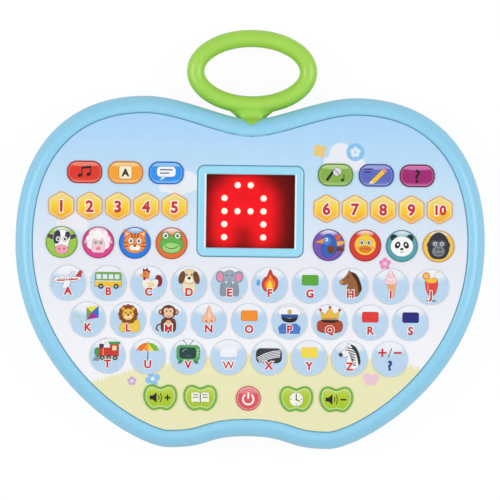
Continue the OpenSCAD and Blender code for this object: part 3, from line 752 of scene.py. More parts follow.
@dataclass(frozen=True)
class PrintedKeycap(Finish):
    """ABS, moulded and pad printed under a clear lacquer: glossier than the case.

    The eye gets a tint that changes across the key, a line round its edge, and on some keys a paler
    line inside that one, which makes the flat key look bevelled.
    """

    tones: tuple[tuple[float, str], ...] = ((-9.0, "#ffffff"), (9.0, "#ffffff"))
    bow: float = 0.0
    line: str = "#9fb8c6"
    line_mm: float = 0.5
    line_soft_mm: float = 0.15
    bevel: float = 0.0
    bevel_mm: float = 0.4
    bevel_soft_mm: float = 0.3
    roughness: float = 0.3
    specular: float = 0.25
    mottle: float = 0.02
    mottle_mm: float = 6.0

    def tint(self, tree: Tree, spot: Socket) -> Paint:
        """Give the colour at a spot: the tone at its bowed height, the paler line and the line."""
        sheet = add(tree, "ShaderNodeUVMap", uv_map="print").outputs["UV"]
        centred = reckon_spot(tree, "ADD", sheet, (-0.5, -0.5, 0.0))
        local = reckon_spot(tree, "MULTIPLY", centred, (UV_SPAN, UV_SPAN, 0.0))
        axes = add(tree, "ShaderNodeSeparateXYZ", {0: local}).outputs
        bowed = reckon(tree, "MULTIPLY_ADD", reckon(tree, "POWER", axes[0], 2.0), self.bow, axes[1])
        inset = add(tree, "ShaderNodeAttribute", attribute_name="inset").outputs["Fac"]
        line_end = self.line_mm + self.line_soft_mm
        bevel_end = line_end + self.bevel_mm
        paler = span(tree, inset, bevel_end, bevel_end + self.bevel_soft_mm, self.bevel, 0.0)
        edge = span(tree, inset, self.line_mm, line_end, 1.0, 0.0)
        bevelled = mix(tree, paler, tone_ramp(tree, bowed, self.tones), (1, 1, 1, 1))
        return mix(tree, edge, bevelled, linear(self.line))


@dataclass(frozen=True)
class PadPrintInk(Finish):
    """Pad printing ink, one colour over another: flat and satin, with slight thin spots."""

    roughness: float = 0.4
    specular: float = 0.25
    mottle: float = 0.05
    mottle_mm: float = 1.5
    relief: float = 0.0

    def tint(self, tree: Tree, spot: Socket) -> Paint:
        """Give the colour at a spot: the ink of the mark that it belongs to."""
        return add(tree, "ShaderNodeAttribute", attribute_name="ink").outputs["Color"]


@dataclass(frozen=True)
class TintedAcrylic(Finish):
    """Acrylic sheet, cut and polished, tinted red: deep and clear, with hardly a reflection.

    The eye gets a dark red sheet that glows where lamps are lit behind it.
    """

    lit: str = "#ff1c25"
    roughness: float = 0.12
    specular: float = 0.08
    mottle: float = 0.06
    mottle_mm: float = 5.0

    def tint(self, tree: Tree, spot: Socket) -> Paint:
        """Give the colour at a spot: deep red, and full red where the light reaches."""
        reach = add(tree, "ShaderNodeAttribute", attribute_name="glow").outputs["Fac"]
        return mix(tree, reach, linear(self.colour), linear(self.lit))


@dataclass(frozen=True)
class LitSpot(Finish):
    """The bright image of a lamp that is on, seen through the red sheet: white in its middle."""

    tones: tuple[tuple[float, str], ...] = (
        (0.0, "#fffaf1"), (0.62, "#fff4e2"), (0.72, "#f9b184"), (0.82, "#d8201f"), (1.0, "#f51c22"),
    )
    shine: float = 0.3
    roughness: float = 0.25
    specular: float = 0.08
    mottle: float = 0.01

    def tint(self, tree: Tree, spot: Socket) -> Paint:
        """Give the colour at a spot: from white in the middle to red at the edge."""
        fall = add(tree, "ShaderNodeAttribute", attribute_name="fall").outputs["Fac"]
        return tone_ramp(tree, fall, self.tones)

    def glow(self, colour: Socket) -> dict[str, object]:
        """Give the light of the lamp."""
        return {"Emission Color": colour, "Emission Strength": self.shine}


@dataclass(frozen=True)
class Puff:
    """A round patch of one colour printed on the panel's film."""

    x: float
    y: float
    r: float


def petals(count: int, x: float, y: float, reach: float, r: float, first: float) -> tuple[Puff, ...]:
    """Give round petals spaced evenly about a point of the panel."""
    return tuple(Puff(px, py, r) for px, py in on_circle(count, reach, x, y, first))


@dataclass(frozen=True)
class BackPrintedFilm(Finish):
    """Polycarbonate film, screen printed on its back: a fine matt face over a soft, clear picture.

    The eye gets a sky that turns from blue to white, with clouds and a few flowers over a meadow.
    """

    roughness: float = 0.36
    mottle: float = 0.012
    mottle_mm: float = 9.0
    sky: tuple[tuple[float, str], ...] = (
        (-40, "#f6f6fb"), (4, "#ebedf6"), (50, "#c0e1f9"), (84, "#a5d3fb"),
    )
    shapes: tuple[tuple[str, tuple[Puff, ...]], ...] = (
        ("#eef1f8", (Puff(-32.3, 45.2, 5.5), Puff(-44, 42.5, 2.8), Puff(-38.2, 40.9, 3),
                     Puff(-40.5, 42.4, 3.4), Puff(-35.8, 41.8, 3.6), Puff(-28.4, 43.7, 3))),
        ("#f0eff6", (Puff(-91, 24.9, 4.7), Puff(-96.4, 23.3, 2.7), Puff(-86.3, 22.5, 3.5))),
        ("#f2f1f8", (Puff(45.8, 60.1, 5.9), Puff(40.3, 55.8, 3.3), Puff(51.3, 55.4, 4.2),
                     Puff(55.2, 55, 3.2))),
        ("#f2c85a", petals(4, 34.9, 61.7, 1.9, 1.75, 35)),
        ("#7fc0ee", (Puff(53.2, 61.3, 4.6),)),
        ("#e4f1fb", petals(5, 53.2, 61.3, 1.6, 1.15, 90)),
        ("#e97fb4", petals(5, 69.0, 4.6, 1.9, 1.25, 18)),
        ("#f7c9de", (Puff(69.0, 4.6, 0.9),)),
    )
    low_shapes: tuple[tuple[str, tuple[Puff, ...]], ...] = (
        ("#efc5da", (Puff(60.6, -53.6, 2.3), Puff(64.5, -53.8, 2.2), Puff(61.2, -56.2, 1.5),
                     Puff(63.9, -56.2, 1.5))),
        ("#c7a3cf", petals(5, -59.5, -56.8, 1.45, 0.95, 90)),
        ("#f4e9f5", (Puff(-59.5, -56.8, 0.7),)),
        ("#7cc0ee", petals(4, -48.9, -55.6, 2.2, 1.75, 20)),
        ("#f2f7fb", (Puff(-48.9, -55.6, 1.0),)),
    )
    meadow: str = "#edeabb"
    meadow_y: float = -45.0
    meadow_x: float = 20.0
    meadow_bow: float = -0.0016
    meadow_soft: tuple[float, float] = (-1.2, 0.6)
    blade_mm: float = 1.6
    blade_reach: float = 8.0
    blade_squeeze: float = 0.12
    shape_soft: float = 0.25
    shape_cover: float = 0.9

    def tint(self, tree: Tree, spot: Socket) -> Paint:
        """Give the colour at a spot: the sky's, a shape's, or the meadow's below its ragged top."""
        scaled = reckon_spot(tree, "MULTIPLY", spot, (1 / MM, 1 / MM, 0.0))
        plan = reckon_spot(tree, "ADD", scaled, (0.0, FOOTPRINT_Y, 0.0))
        axes = add(tree, "ShaderNodeSeparateXYZ", {0: plan}).outputs
        ground = tone_ramp(tree, axes[1], self.sky)
        for ink, puffs in self.shapes:
            ground = self._shape(tree, plan, ground, ink, puffs)
        ground = self._meadow(tree, axes, plan, ground)
        for ink, puffs in self.low_shapes:
            ground = self._shape(tree, plan, ground, ink, puffs)
        return ground

    def _shape(
        self, tree: Tree, plan: Socket, ground: Socket, ink: str, puffs: tuple[Puff, ...]
    ) -> Socket:
        """Lay one shape over the ground: everything within reach of one of its puffs."""
        nearest: Socket | float = FAR
        for puff in puffs:
            ends = {0: plan, 1: (puff.x, puff.y, 0.0)}
            away = add(tree, "ShaderNodeVectorMath", ends, operation="DISTANCE").outputs["Value"]
            nearest = reckon(tree, "MINIMUM", reckon(tree, "SUBTRACT", away, puff.r), nearest)
        share = span(tree, nearest, -self.shape_soft, self.shape_soft, self.shape_cover, 0.0)
        return mix(tree, share, ground, linear(ink))

    def _meadow(
        self, tree: Tree, axes: bpy.types.NodeOutputs, plan: Socket, ground: Socket
    ) -> Socket:
        """Lay the meadow over the ground: below a bowed line, with blades that reach up over it."""
        across = reckon(tree, "SUBTRACT", axes[0], self.meadow_x)
        square = reckon(tree, "POWER", across, 2.0)
        border = reckon(tree, "MULTIPLY_ADD", square, self.meadow_bow, self.meadow_y)
        squeeze = {"Vector": plan, "Scale": (1.0, self.blade_squeeze, 1.0)}
        thin = add(tree, "ShaderNodeMapping", squeeze).outputs["Vector"]
        blades = noise(tree, thin, self.blade_mm, GRAIN_DETAIL)
        grown_to = reckon(tree, "MULTIPLY_ADD", blades, self.blade_reach, border)
        past = reckon(tree, "SUBTRACT", axes[1], grown_to)
        share = span(tree, past, *self.meadow_soft, 1.0, 0.0)
        return mix(tree, share, ground, linear(self.meadow))


@cache
def worn(finish: Finish) -> bpy.types.Material:
    """Give the material of a finish, built when a piece first asks for it."""
    return finish.material()


# Printed marks --------------------------------------------------------------------------------------

RED, WHITE, BLACK = "#ce2f38", "#fdfdfb", "#2b2b30"
LAYER = 0.01
TOP_STEP = 0.2
BODY_GROWTH = 0.16
EDGE_MM = 0.16
SLIVER = 1e-5
FINE_STEPS, COARSE_STEPS = 20, 10


def smooth_loop(points: Sequence[Point]) -> Plan:
    """Draw a closed curve through points, in even steps from one to the next."""
    count, steps = len(points), 6
    found: Plan = []
    for i in range(count):
        a, b, c, d = (points[(i + k) % count] for k in (-1, 0, 1, 2))
        for s in range(steps):
            t = s / steps
            x, y = (
                b[k] + t / 2 * (c[k] - a[k] + t * (2 * a[k] - 5 * b[k] + 4 * c[k] - d[k]
                + t * (3 * b[k] - a[k] - 3 * c[k] + d[k])))
                for k in (0, 1)
            )
            found.append((x, y))
    return found


def grown(loop: Plan, reach: float) -> Plan:
    """Move a closed outline outwards.

    Args:
        loop: the outline, either way round.
        reach: how far to move it.

    Returns:
        The larger outline.
    """
    count = len(loop)
    area = sum(loop[i - 1][0] * loop[i][1] - loop[i][0] * loop[i - 1][1] for i in range(count))
    side = math.copysign(reach, area)
    found: Plan = []
    for i in range(count):
        (ax, ay), (x, y), (bx, by) = loop[i - 1], loop[i], loop[(i + 1) % count]
        run_x, run_y = bx - ax, by - ay
        run = math.hypot(run_x, run_y) or 1.0
        found.append((x + run_y / run * side, y - run_x / run * side))
    return found


@dataclass(frozen=True)
class Patch:
    """A printed patch with straight edges, and a thin outline if that has an ink."""

    points: Sequence[Point]
    ink: str
    edge: str = ""

    def loops(self) -> list[Plan]:
        """Give the outlines of the mark's closed areas."""
        return [list(self.points)]


@dataclass(frozen=True)
class Blob(Patch):
    """A printed patch whose edge runs smoothly through its points."""

    def loops(self) -> list[Plan]:
        """Give the outline of the mark."""
        return [smooth_loop(self.points)]


@dataclass(frozen=True)
class Oval:
    """A printed ellipse, and a thin outline if that has an ink."""

    x: float
    y: float
    rx: float
    ry: float
    ink: str
    turn: float = 0.0
    edge: str = ""

    def loops(self) -> list[Plan]:
        """Give the outline of the mark."""
        steps = FINE_STEPS if max(self.rx, self.ry) > 1 else COARSE_STEPS
        c, s = math.cos(math.radians(self.turn)), math.sin(math.radians(self.turn))
        reaches = [(self.rx * u, self.ry * v) for u, v in on_circle(steps, 1.0)]
        return [[(self.x + u * c - v * s, self.y + u * s + v * c) for u, v in reaches]]


@dataclass(frozen=True)
class Stroke:
    """A printed line of even width through points, with square ends."""

    points: Sequence[Point]
    width: float
    ink: str
    edge: str = ""

    def loops(self) -> list[Plan]:
        """Give the outlines of the line's straight parts and of the rounds at its bends."""
        loops: list[Plan] = []
        half = self.width / 2
        for (ax, ay), (bx, by) in zip(self.points, self.points[1:], strict=False):
            run = math.hypot(bx - ax, by - ay)
            u, v = -(by - ay) / run * half, (bx - ax) / run * half
            loops.append([(ax + u, ay + v), (ax - u, ay - v), (bx - u, by - v), (bx + u, by + v)])
        return loops + [on_circle(COARSE_STEPS, half, x, y) for x, y in self.points[1:-1]]


Mark = Patch | Oval | Stroke


def mirrored(marks: Sequence[Mark]) -> list[Mark]:
    """Give marks together with their mirror images across the key's middle."""
    found: list[Mark] = []
    for mark in marks:
        found.append(mark)
        match mark:
            case Oval():
                found.append(Oval(-mark.x, mark.y, mark.rx, mark.ry, mark.ink, -mark.turn, mark.edge))
            case Stroke():
                found.append(Stroke([(-x, y) for x, y in mark.points], mark.width, mark.ink))
            case _:
                found.append(type(mark)([(-x, y) for x, y in mark.points], mark.ink, mark.edge))
    return found


@dataclass(frozen=True)
class Legend:
    """A letter or number printed on a key, with a pale line round it."""

    text: str
    cap_mm: float
    y: float
    ink: str = RED
    halo: str = WHITE
    halo_mm: float = 0.55
    weight_mm: float = 0.22

    def triangles(self, grown: float) -> list[list[Point]]:
        """Give the legend's shape as triangles of the key's plan.

        Args:
            grown: how far its edge is moved out.

        Returns:
            The corners of each triangle.
        """
        cap_share = 0.729
        curve = bpy.data.curves.new("legend", "FONT")
        curve.body = self.text
        curve.align_x = "CENTER"
        curve.size = self.cap_mm / cap_share
        curve.offset = grown
        curve.resolution_u = 4
        curve.fill_mode = "FRONT"
        text = bpy.data.objects.new("legend", curve)
        bpy.context.scene.collection.objects.link(text)
        bpy.context.view_layer.update()
        mesh = bpy.data.meshes.new_from_object(text)
        mesh.calc_loop_triangles()
        found = [
            [
                (mesh.vertices[i].co.x, mesh.vertices[i].co.y + self.y - self.cap_mm / 2)
                for i in triangle.vertices
            ]
            for triangle in mesh.loop_triangles
        ]
        bpy.data.objects.remove(text)
        bpy.data.curves.remove(curve)
        bpy.data.meshes.remove(mesh)
        return found


def side_by_side(outlines: Iterable[Sequence[Point]]) -> list[list[Point]]:
    """Cut outlines that may overlap into triangles that do not, and leave open what none covers."""
    spots: list[Vector] = []
    faces: list[list[int]] = []
    for outline in outlines:
        pairs = zip(outline, [*outline[1:], outline[0]], strict=True)
        turn = sum(ax * by - bx * ay for (ax, ay), (bx, by) in pairs)
        if abs(turn) < SLIVER:
            continue
        faces.append(list(range(len(spots), len(spots) + len(outline))))
        spots += [Vector(p) for p in (outline if turn > 0 else list(reversed(outline)))]
    points, _, triangles, _, _, owners = geometry.delaunay_2d_cdt(spots, [], faces, 1, SLIVER, True)
    return [
        [tuple(points[i]) for i in face]
        for face, owner in zip(triangles, owners, strict=True)
        if owner
    ]


class KeyDraft(Draft):
    """One moulded body that carries one or more keys, each a blank with printing on it."""

    def __init__(self) -> None:
        """Start without keys."""
        super().__init__()
        self.home: Point = (0.0, 0.0)
        self.layer = 0
        self.scale = 1.0

    def blank(self, shape: KeyShape, home: Point, look: int) -> None:
        """Add a key's blank: its lip, its body and its softly rounded top.

        Args:
            shape: the key's shape.
            home: its middle on the panel.
            look: which of the piece's materials it takes.
        """
        lip, lip_t, round_steps, top_rings = 0.45, 0.5, 4, (0.5, 1.0, 1.8)
        self.home, self.layer = home, 0
        section = [
            (-lip, LEVELS.lip), (-lip, LEVELS.lip + lip_t), (-BODY_GROWTH, LEVELS.lip + lip_t),
            *[(TOP_STEP * u - BODY_GROWTH, LEVELS.key - TOP_STEP * v) for u, v in quarter(round_steps)],
            *[(inset, LEVELS.key) for inset in top_rings],
        ]
        rings = [self.ring(shape.plan(d), z, home, max(d, 0.0)) for d, z in section]
        self.skin(rings, look)
        self.cap(rings[0], look=look)
        self.cap(rings[-1], look=look)

    def pattern(self, marks: Iterable[Mark | Legend], look: int, scale: float) -> None:
        """Print marks on the key that was added last, each over the ones before.

        Args:
            marks: the marks, round the key's middle.
            look: which of the piece's materials they take.
            scale: how much larger than drawn they are printed.
        """
        self.scale = scale
        for mark in marks:
            if isinstance(mark, Legend):
                self.layer += 1
                if mark.halo_mm > 0:
                    self._print(side_by_side(mark.triangles(mark.halo_mm)), mark.halo, look)
                    self.layer += 1
                self._print(side_by_side(mark.triangles(mark.weight_mm)), mark.ink, look)
            else:
                if mark.edge:
                    self._fill([grown(loop, EDGE_MM) for loop in mark.loops()], mark.edge, look)
                self._fill(mark.loops(), mark.ink, look)

    def _fill(self, loops: Sequence[Plan], ink: str, look: int) -> None:
        """Print closed outlines of one ink as a new layer."""
        self.layer += 1
        self._print(side_by_side(loops), ink, look)

    def _print(self, triangles: Sequence[Sequence[Point]], ink: str, look: int) -> None:
        """Lay triangles of one ink over everything printed so far."""
        z = LEVELS.key + LAYER * self.layer
        known: dict[tuple[float, float], int] = {}
        for triangle in triangles:
            corners = []
            for x, y in triangle:
                spot = (round(x * self.scale, 4), round(y * self.scale, 4))
                if spot not in known:
                    known[spot] = self.ring([spot], z, self.home)[0]
                corners.append(known[spot])
            if len(set(corners)) == 3:
                self.face(corners, look, ink, flat=True, sheet=True)


# Case -----------------------------------------------------------------------------------------------


def stamped(
    name: str, shape: bpy.types.Mesh, spots: Sequence[Vector], material: bpy.types.Material
) -> bpy.types.Object:
    """Set one shape down at many spots with a tree of geometry nodes.

    Args:
        name: the new object's name.
        shape: the shape, drawn round its own origin.
        spots: where it goes, in metres of the frame.
        material: what all of them wear.

    Returns:
        One object with a plain mesh that holds them all.
    """
    spread = bpy.data.meshes.new(name + "_spots")
    spread.from_pydata(spots, [], [])
    carrier = shown(spread, name)
    pattern = shown(shape, name + "_pattern")
    tree = bpy.data.node_groups.new(name + "_stamp", "GeometryNodeTree")
    tree.interface.new_socket("Geometry", in_out="INPUT", socket_type="NodeSocketGeometry")
    scale = tree.interface.new_socket("Scale", in_out="INPUT", socket_type="NodeSocketFloat")
    dressed = tree.interface.new_socket("Material", in_out="INPUT", socket_type="NodeSocketMaterial")
    source = tree.interface.new_socket("Pattern", in_out="INPUT", socket_type="NodeSocketObject")
    tree.interface.new_socket("Geometry", in_out="OUTPUT", socket_type="NodeSocketGeometry")
    given = add(tree, "NodeGroupInput").outputs
    wanted = add(tree, "GeometryNodeObjectInfo", {"Object": given["Pattern"]})
    size = add(tree, "ShaderNodeCombineXYZ", {0: given["Scale"], 1: given["Scale"], 2: given["Scale"]})
    placed = add(
        tree, "GeometryNodeInstanceOnPoints",
        {"Points": given["Geometry"], "Instance": wanted.outputs["Geometry"], "Scale": size.outputs[0]},
    )
    real = add(tree, "GeometryNodeRealizeInstances", {"Geometry": placed.outputs["Instances"]})
    worn = add(
        tree, "GeometryNodeSetMaterial", {"Geometry": real.outputs[0], "Material": given["Material"]}
    )
    add(tree, "NodeGroupOutput", {0: worn.outputs["Geometry"]})
    modifier = carrier.modifiers.new("stamp", "NODES")
    modifier.node_group = tree
    modifier[scale.identifier] = 1.0
    modifier[dressed.identifier] = material
    modifier[source.identifier] = pattern
    done = plain_mesh(carrier, name)
    bpy.data.objects.remove(pattern)
    bpy.data.meshes.remove(spread)
    bpy.data.node_groups.remove(tree)
    return done


def turned(profile: Sequence[Point], steps: int = 32) -> bpy.types.Mesh:
    """Turn a profile of radius and height, in millimetres, round the z axis of its own origin."""
    mesh = bpy.data.meshes.new("turned")
    body = bmesh.new()
    rings = [
        [body.verts.new(Vector((x, y, z)) * MM) for x, y in on_circle(steps, r)] for r, z in profile
    ]
    for first, second in zip(rings, rings[1:], strict=False):
        for i in range(steps):
            j = (i + 1) % steps
            body.faces.new((first[i], first[j], second[j], second[i]))
    body.faces.new(rings[0])
    body.faces.new(rings[-1])
    bmesh.ops.recalc_face_normals(body, faces=body.faces)
    body.to_mesh(mesh)
    body.free()
    mesh.polygons.foreach_set("use_smooth", [True] * len(mesh.polygons))
    mesh.set_sharp_from_angle(angle=math.radians(SHARP))
    return mesh


def joined(name: str, parts: Sequence[bpy.types.Object]) -> bpy.types.Object:
    """Join pieces that belong to one moulding into the first of them."""
    with bpy.context.temp_override(active_object=parts[0], selected_editable_objects=list(parts)):
        bpy.ops.object.join()
    parts[0].name = name
    return parts[0]


@dataclass
class FrontShell:
    """The front half of the case: its rim, the plate under the keys and the frame of the display."""

    plastic: Finish
    # the case's own blue, painted lighter on the display frame to stand for the light on its flat top
    frame_plastic: Finish
    # a near-white painted highlight on the frame's left and right inner slopes, standing for the
    # reflection of the side lights
    polished: Finish
    # the rim, from its inside round to the lip of the well
    rim_w: float = 8.7
    under_curve: tuple[Point, ...] = ((6.2, 0.2), (4.2, 0.5), (2.0, 4.0))
    wall: float = 2.0
    tongue_in: float = 1.1
    tongue_top: float = 16.15
    seam: float = 0.25
    rim_round: float = 6.5
    rim_drop: float = 9.5
    round_steps: int = 14
    lip_r: float = 1.45
    lip_steps: int = 5
    # the display's window and the frame round it
    window: Point = (45.2, 37.5)
    recess: Point = (50.5, 42.8)
    recess_corner: float = 1.0
    recess_z: float = 24.35
    bezel_w: float = 4.4
    bezel_corner: float = 3.5
    least_corner: float = 0.5
    bezel_round: float = 1.3
    bezel_drop: float = 0.8
    bezel_steps: int = 7
    slope: Point = (1.15, 0.9)
    slope_steps: int = 6
    # how wide the painted highlight strips on the frame's inner slopes are
    polished_w: float = 1.1
    # the towers under the plate and the slot for the keypad's tail
    bosses: tuple[Point, ...] = ((57.8, 72), (106, 11.6), (77.9, -52))
    middle_bosses: tuple[Point, ...] = ((0, -72.5), (0, 68))
    boss_r: float = 3.4
    boss_foot: float = 10.65
    boss_bore: float = 1.3
    posts: Point = (28.1, 22.5)
    post_r: float = 2.6
    post_foot: float = 17.1
    post_bore: float = 1.0
    bore_depth: float = 2.0
    root: float = 0.5
    tail_slot: tuple[float, float, float, float] = (-108.0, -8.5, 2.0, 13.0)

    def section(self) -> Plan:
        """Draw the rim's section as insets from the edge and heights, from inside round to the well."""
        under, parting, crest = LEVELS.plate_under, LEVELS.parting, LEVELS.crest
        return [
            (self.rim_w, under), *[(inset, under - drop) for inset, drop in self.under_curve],
            (self.wall, self.tongue_top), (self.tongue_in, self.tongue_top),
            (self.tongue_in, parting), (self.seam, parting), (0.0, parting + self.seam),
            *[(self.rim_round * u, crest - self.rim_drop * v) for u, v in quarter(self.round_steps)],
            *[(self.rim_w - self.lip_r * v, crest - self.lip_r * u) for u, v in quarter(self.lip_steps)],
            (self.rim_w, LEVELS.plate),
        ]

    def frame_section(self) -> Plan:
        """Draw the display frame's section as insets from its outer edge and heights."""
        top, reach, (run, fall) = LEVELS.key, self.bezel_round, self.slope
        out = [(reach * u, top - reach * v * self.bezel_drop) for u, v in quarter(self.bezel_steps)]
        inward = [(self.bezel_w - run * v, top - fall * u) for u, v in quarter(self.slope_steps)]
        return [(0.0, LEVELS.plate), *out, *inward, (self.bezel_w, self.recess_z)]

    def _catch_light(self, draft: Draft, first: Sequence[int], y: float) -> None:
        """Give the inner slopes at the frame's left and right a near-white painted highlight, for the side
        lights' reflection.
        """
        play, slack, painted_highlight_look = 0.01, 0.5, 2
        edge, end = self.window[0] / 2, self.window[1] / 2 + slack
        for i, corners in enumerate(draft.faces):
            spots = [draft.points[c] for c in corners]
            beside = all(edge - play <= abs(x) <= edge + self.polished_w for x, _, _ in spots)
            level = all(abs(py - y) <= end for _, py, _ in spots)
            if min(corners) >= first[0] and beside and level:
                draft.looks[i] = painted_highlight_look

    def build(self) -> bpy.types.Object:
        """Build and dress the front shell, and give the finished piece."""
        draft = Draft()
        rings = [draft.ring(CASE.plan(d), z) for d, z in self.section()]
        draft.skin(rings)
        home = (0.0, DISPLAY_Y)
        outer_w = self.window[0] + 2 * self.bezel_w
        outer_h = self.window[1] + 2 * self.bezel_w
        frame_rings = []
        for d, z in self.frame_section():
            corner = max(self.bezel_corner - d, self.least_corner)
            frame_rings.append(draft.ring(box_plan(outer_w - 2 * d, outer_h - 2 * d, corner), z, home))
        # look 1 is the case's blue painted lighter, for the light on the frame
        draft.skin(frame_rings, look=1)
        recess = box_plan(*self.recess, self.recess_corner)
        ledge = draft.ring(recess, self.recess_z, home)
        under = draft.ring(recess, LEVELS.plate_under, home)
        self._catch_light(draft, frame_rings[0], home[1])
        draft.skin([frame_rings[-1], ledge, under])
        x, y, w, h = self.tail_slot
        slot = [(x, y), (x + w, y), (x + w, y + h), (x, y + h)]
        slot_top, slot_under = draft.ring(slot, LEVELS.plate), draft.ring(slot, LEVELS.plate_under)
        draft.wall(slot_top, slot_under, flat=True)
        draft.cap(rings[-1], [frame_rings[0], slot_top])
        draft.cap(rings[0], [under, slot_under])
        plastic = worn(self.plastic)
        looks = [plastic, worn(self.frame_plastic), worn(self.polished)]
        shell = draft.build("front_shell", looks)
        screws = [*self.bosses, *[(-px, py) for px, py in self.bosses], *self.middle_bosses]
        towers = self._towers("towers", screws, self.boss_foot, self.boss_r, self.boss_bore, plastic)
        across, along = self.posts
        posts = [(sx * across, DISPLAY_Y + sy * along) for sx in (-1, 1) for sy in (-1, 1)]
        pegs = self._towers("pegs", posts, self.post_foot, self.post_r, self.post_bore, plastic)
        piece = joined("front_shell_moulding", [shell, towers, pegs])
        register(piece, "case", ["front_shell"])
        return piece

    def _towers(
        self, name: str, spots: Plan, foot: float, radius: float, bore: float,
        plastic: bpy.types.Material,
    ) -> bpy.types.Object:
        """Hang round towers under the plate, each with a screw's hole in its foot.

        Args:
            name: their name.
            spots: the places of their middles.
            foot: the height of their feet.
            radius: their radius.
            bore: the radius of the hole.
            plastic: what they are made of.

        Returns:
            All of them in one object.
        """
        tall = LEVELS.plate_under + self.root - foot
        tower = turned([(bore, self.bore_depth), (bore, 0.0), (radius, 0.0), (radius, tall)])
        return stamped(name, tower, [place(x, y, foot) for x, y in spots], plastic)


@dataclass
class RearShell:
    """The back half of the case: the tray with the battery bay, the speaker's seat and its towers."""

    plastic: Finish

    def build(self) -> None:
        """Smooth and dress a copy of the tray."""
        tray = smoothed_copy("rear_shell", worn(self.plastic))
        register(tray, "case", ["rear_shell"])


LEVEL_FACE = 0.9999  # how near a face's normal is to an axis when the face is shaded flat
MERGE_MM = 0.002
COPY_SHARP = 32.0


def smoothed_copy(node: str, material: bpy.types.Material) -> bpy.types.Object:
    """Copy a CAD node with its doubled points merged: its curves are shaded smooth, its planes flat.

    Args:
        node: the node's name.
        material: what the copy wears.

    Returns:
        The copy, in the frame.
    """
    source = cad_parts[node]
    mesh = source.data.copy()
    mesh.transform(source.matrix_world)
    for layer in ("custom_normal", "sharp_edge", "sharp_face"):
        if layer in mesh.attributes:
            mesh.attributes.remove(mesh.attributes[layer])
    body = bmesh.new()
    body.from_mesh(mesh)
    bmesh.ops.remove_doubles(body, verts=body.verts, dist=MERGE_MM * MM)
    bmesh.ops.recalc_face_normals(body, faces=body.faces)
    body.to_mesh(mesh)
    body.free()
    mesh.materials.clear()
    mesh.materials.append(material)
    mesh.polygons.foreach_set("material_index", [0] * len(mesh.polygons))
    level = [max(map(abs, face.normal)) > LEVEL_FACE for face in mesh.polygons]
    mesh.polygons.foreach_set("use_smooth", [not flat for flat in level])
    mesh.set_sharp_from_angle(angle=math.radians(COPY_SHARP))
    return shown(mesh, node + "_smooth")


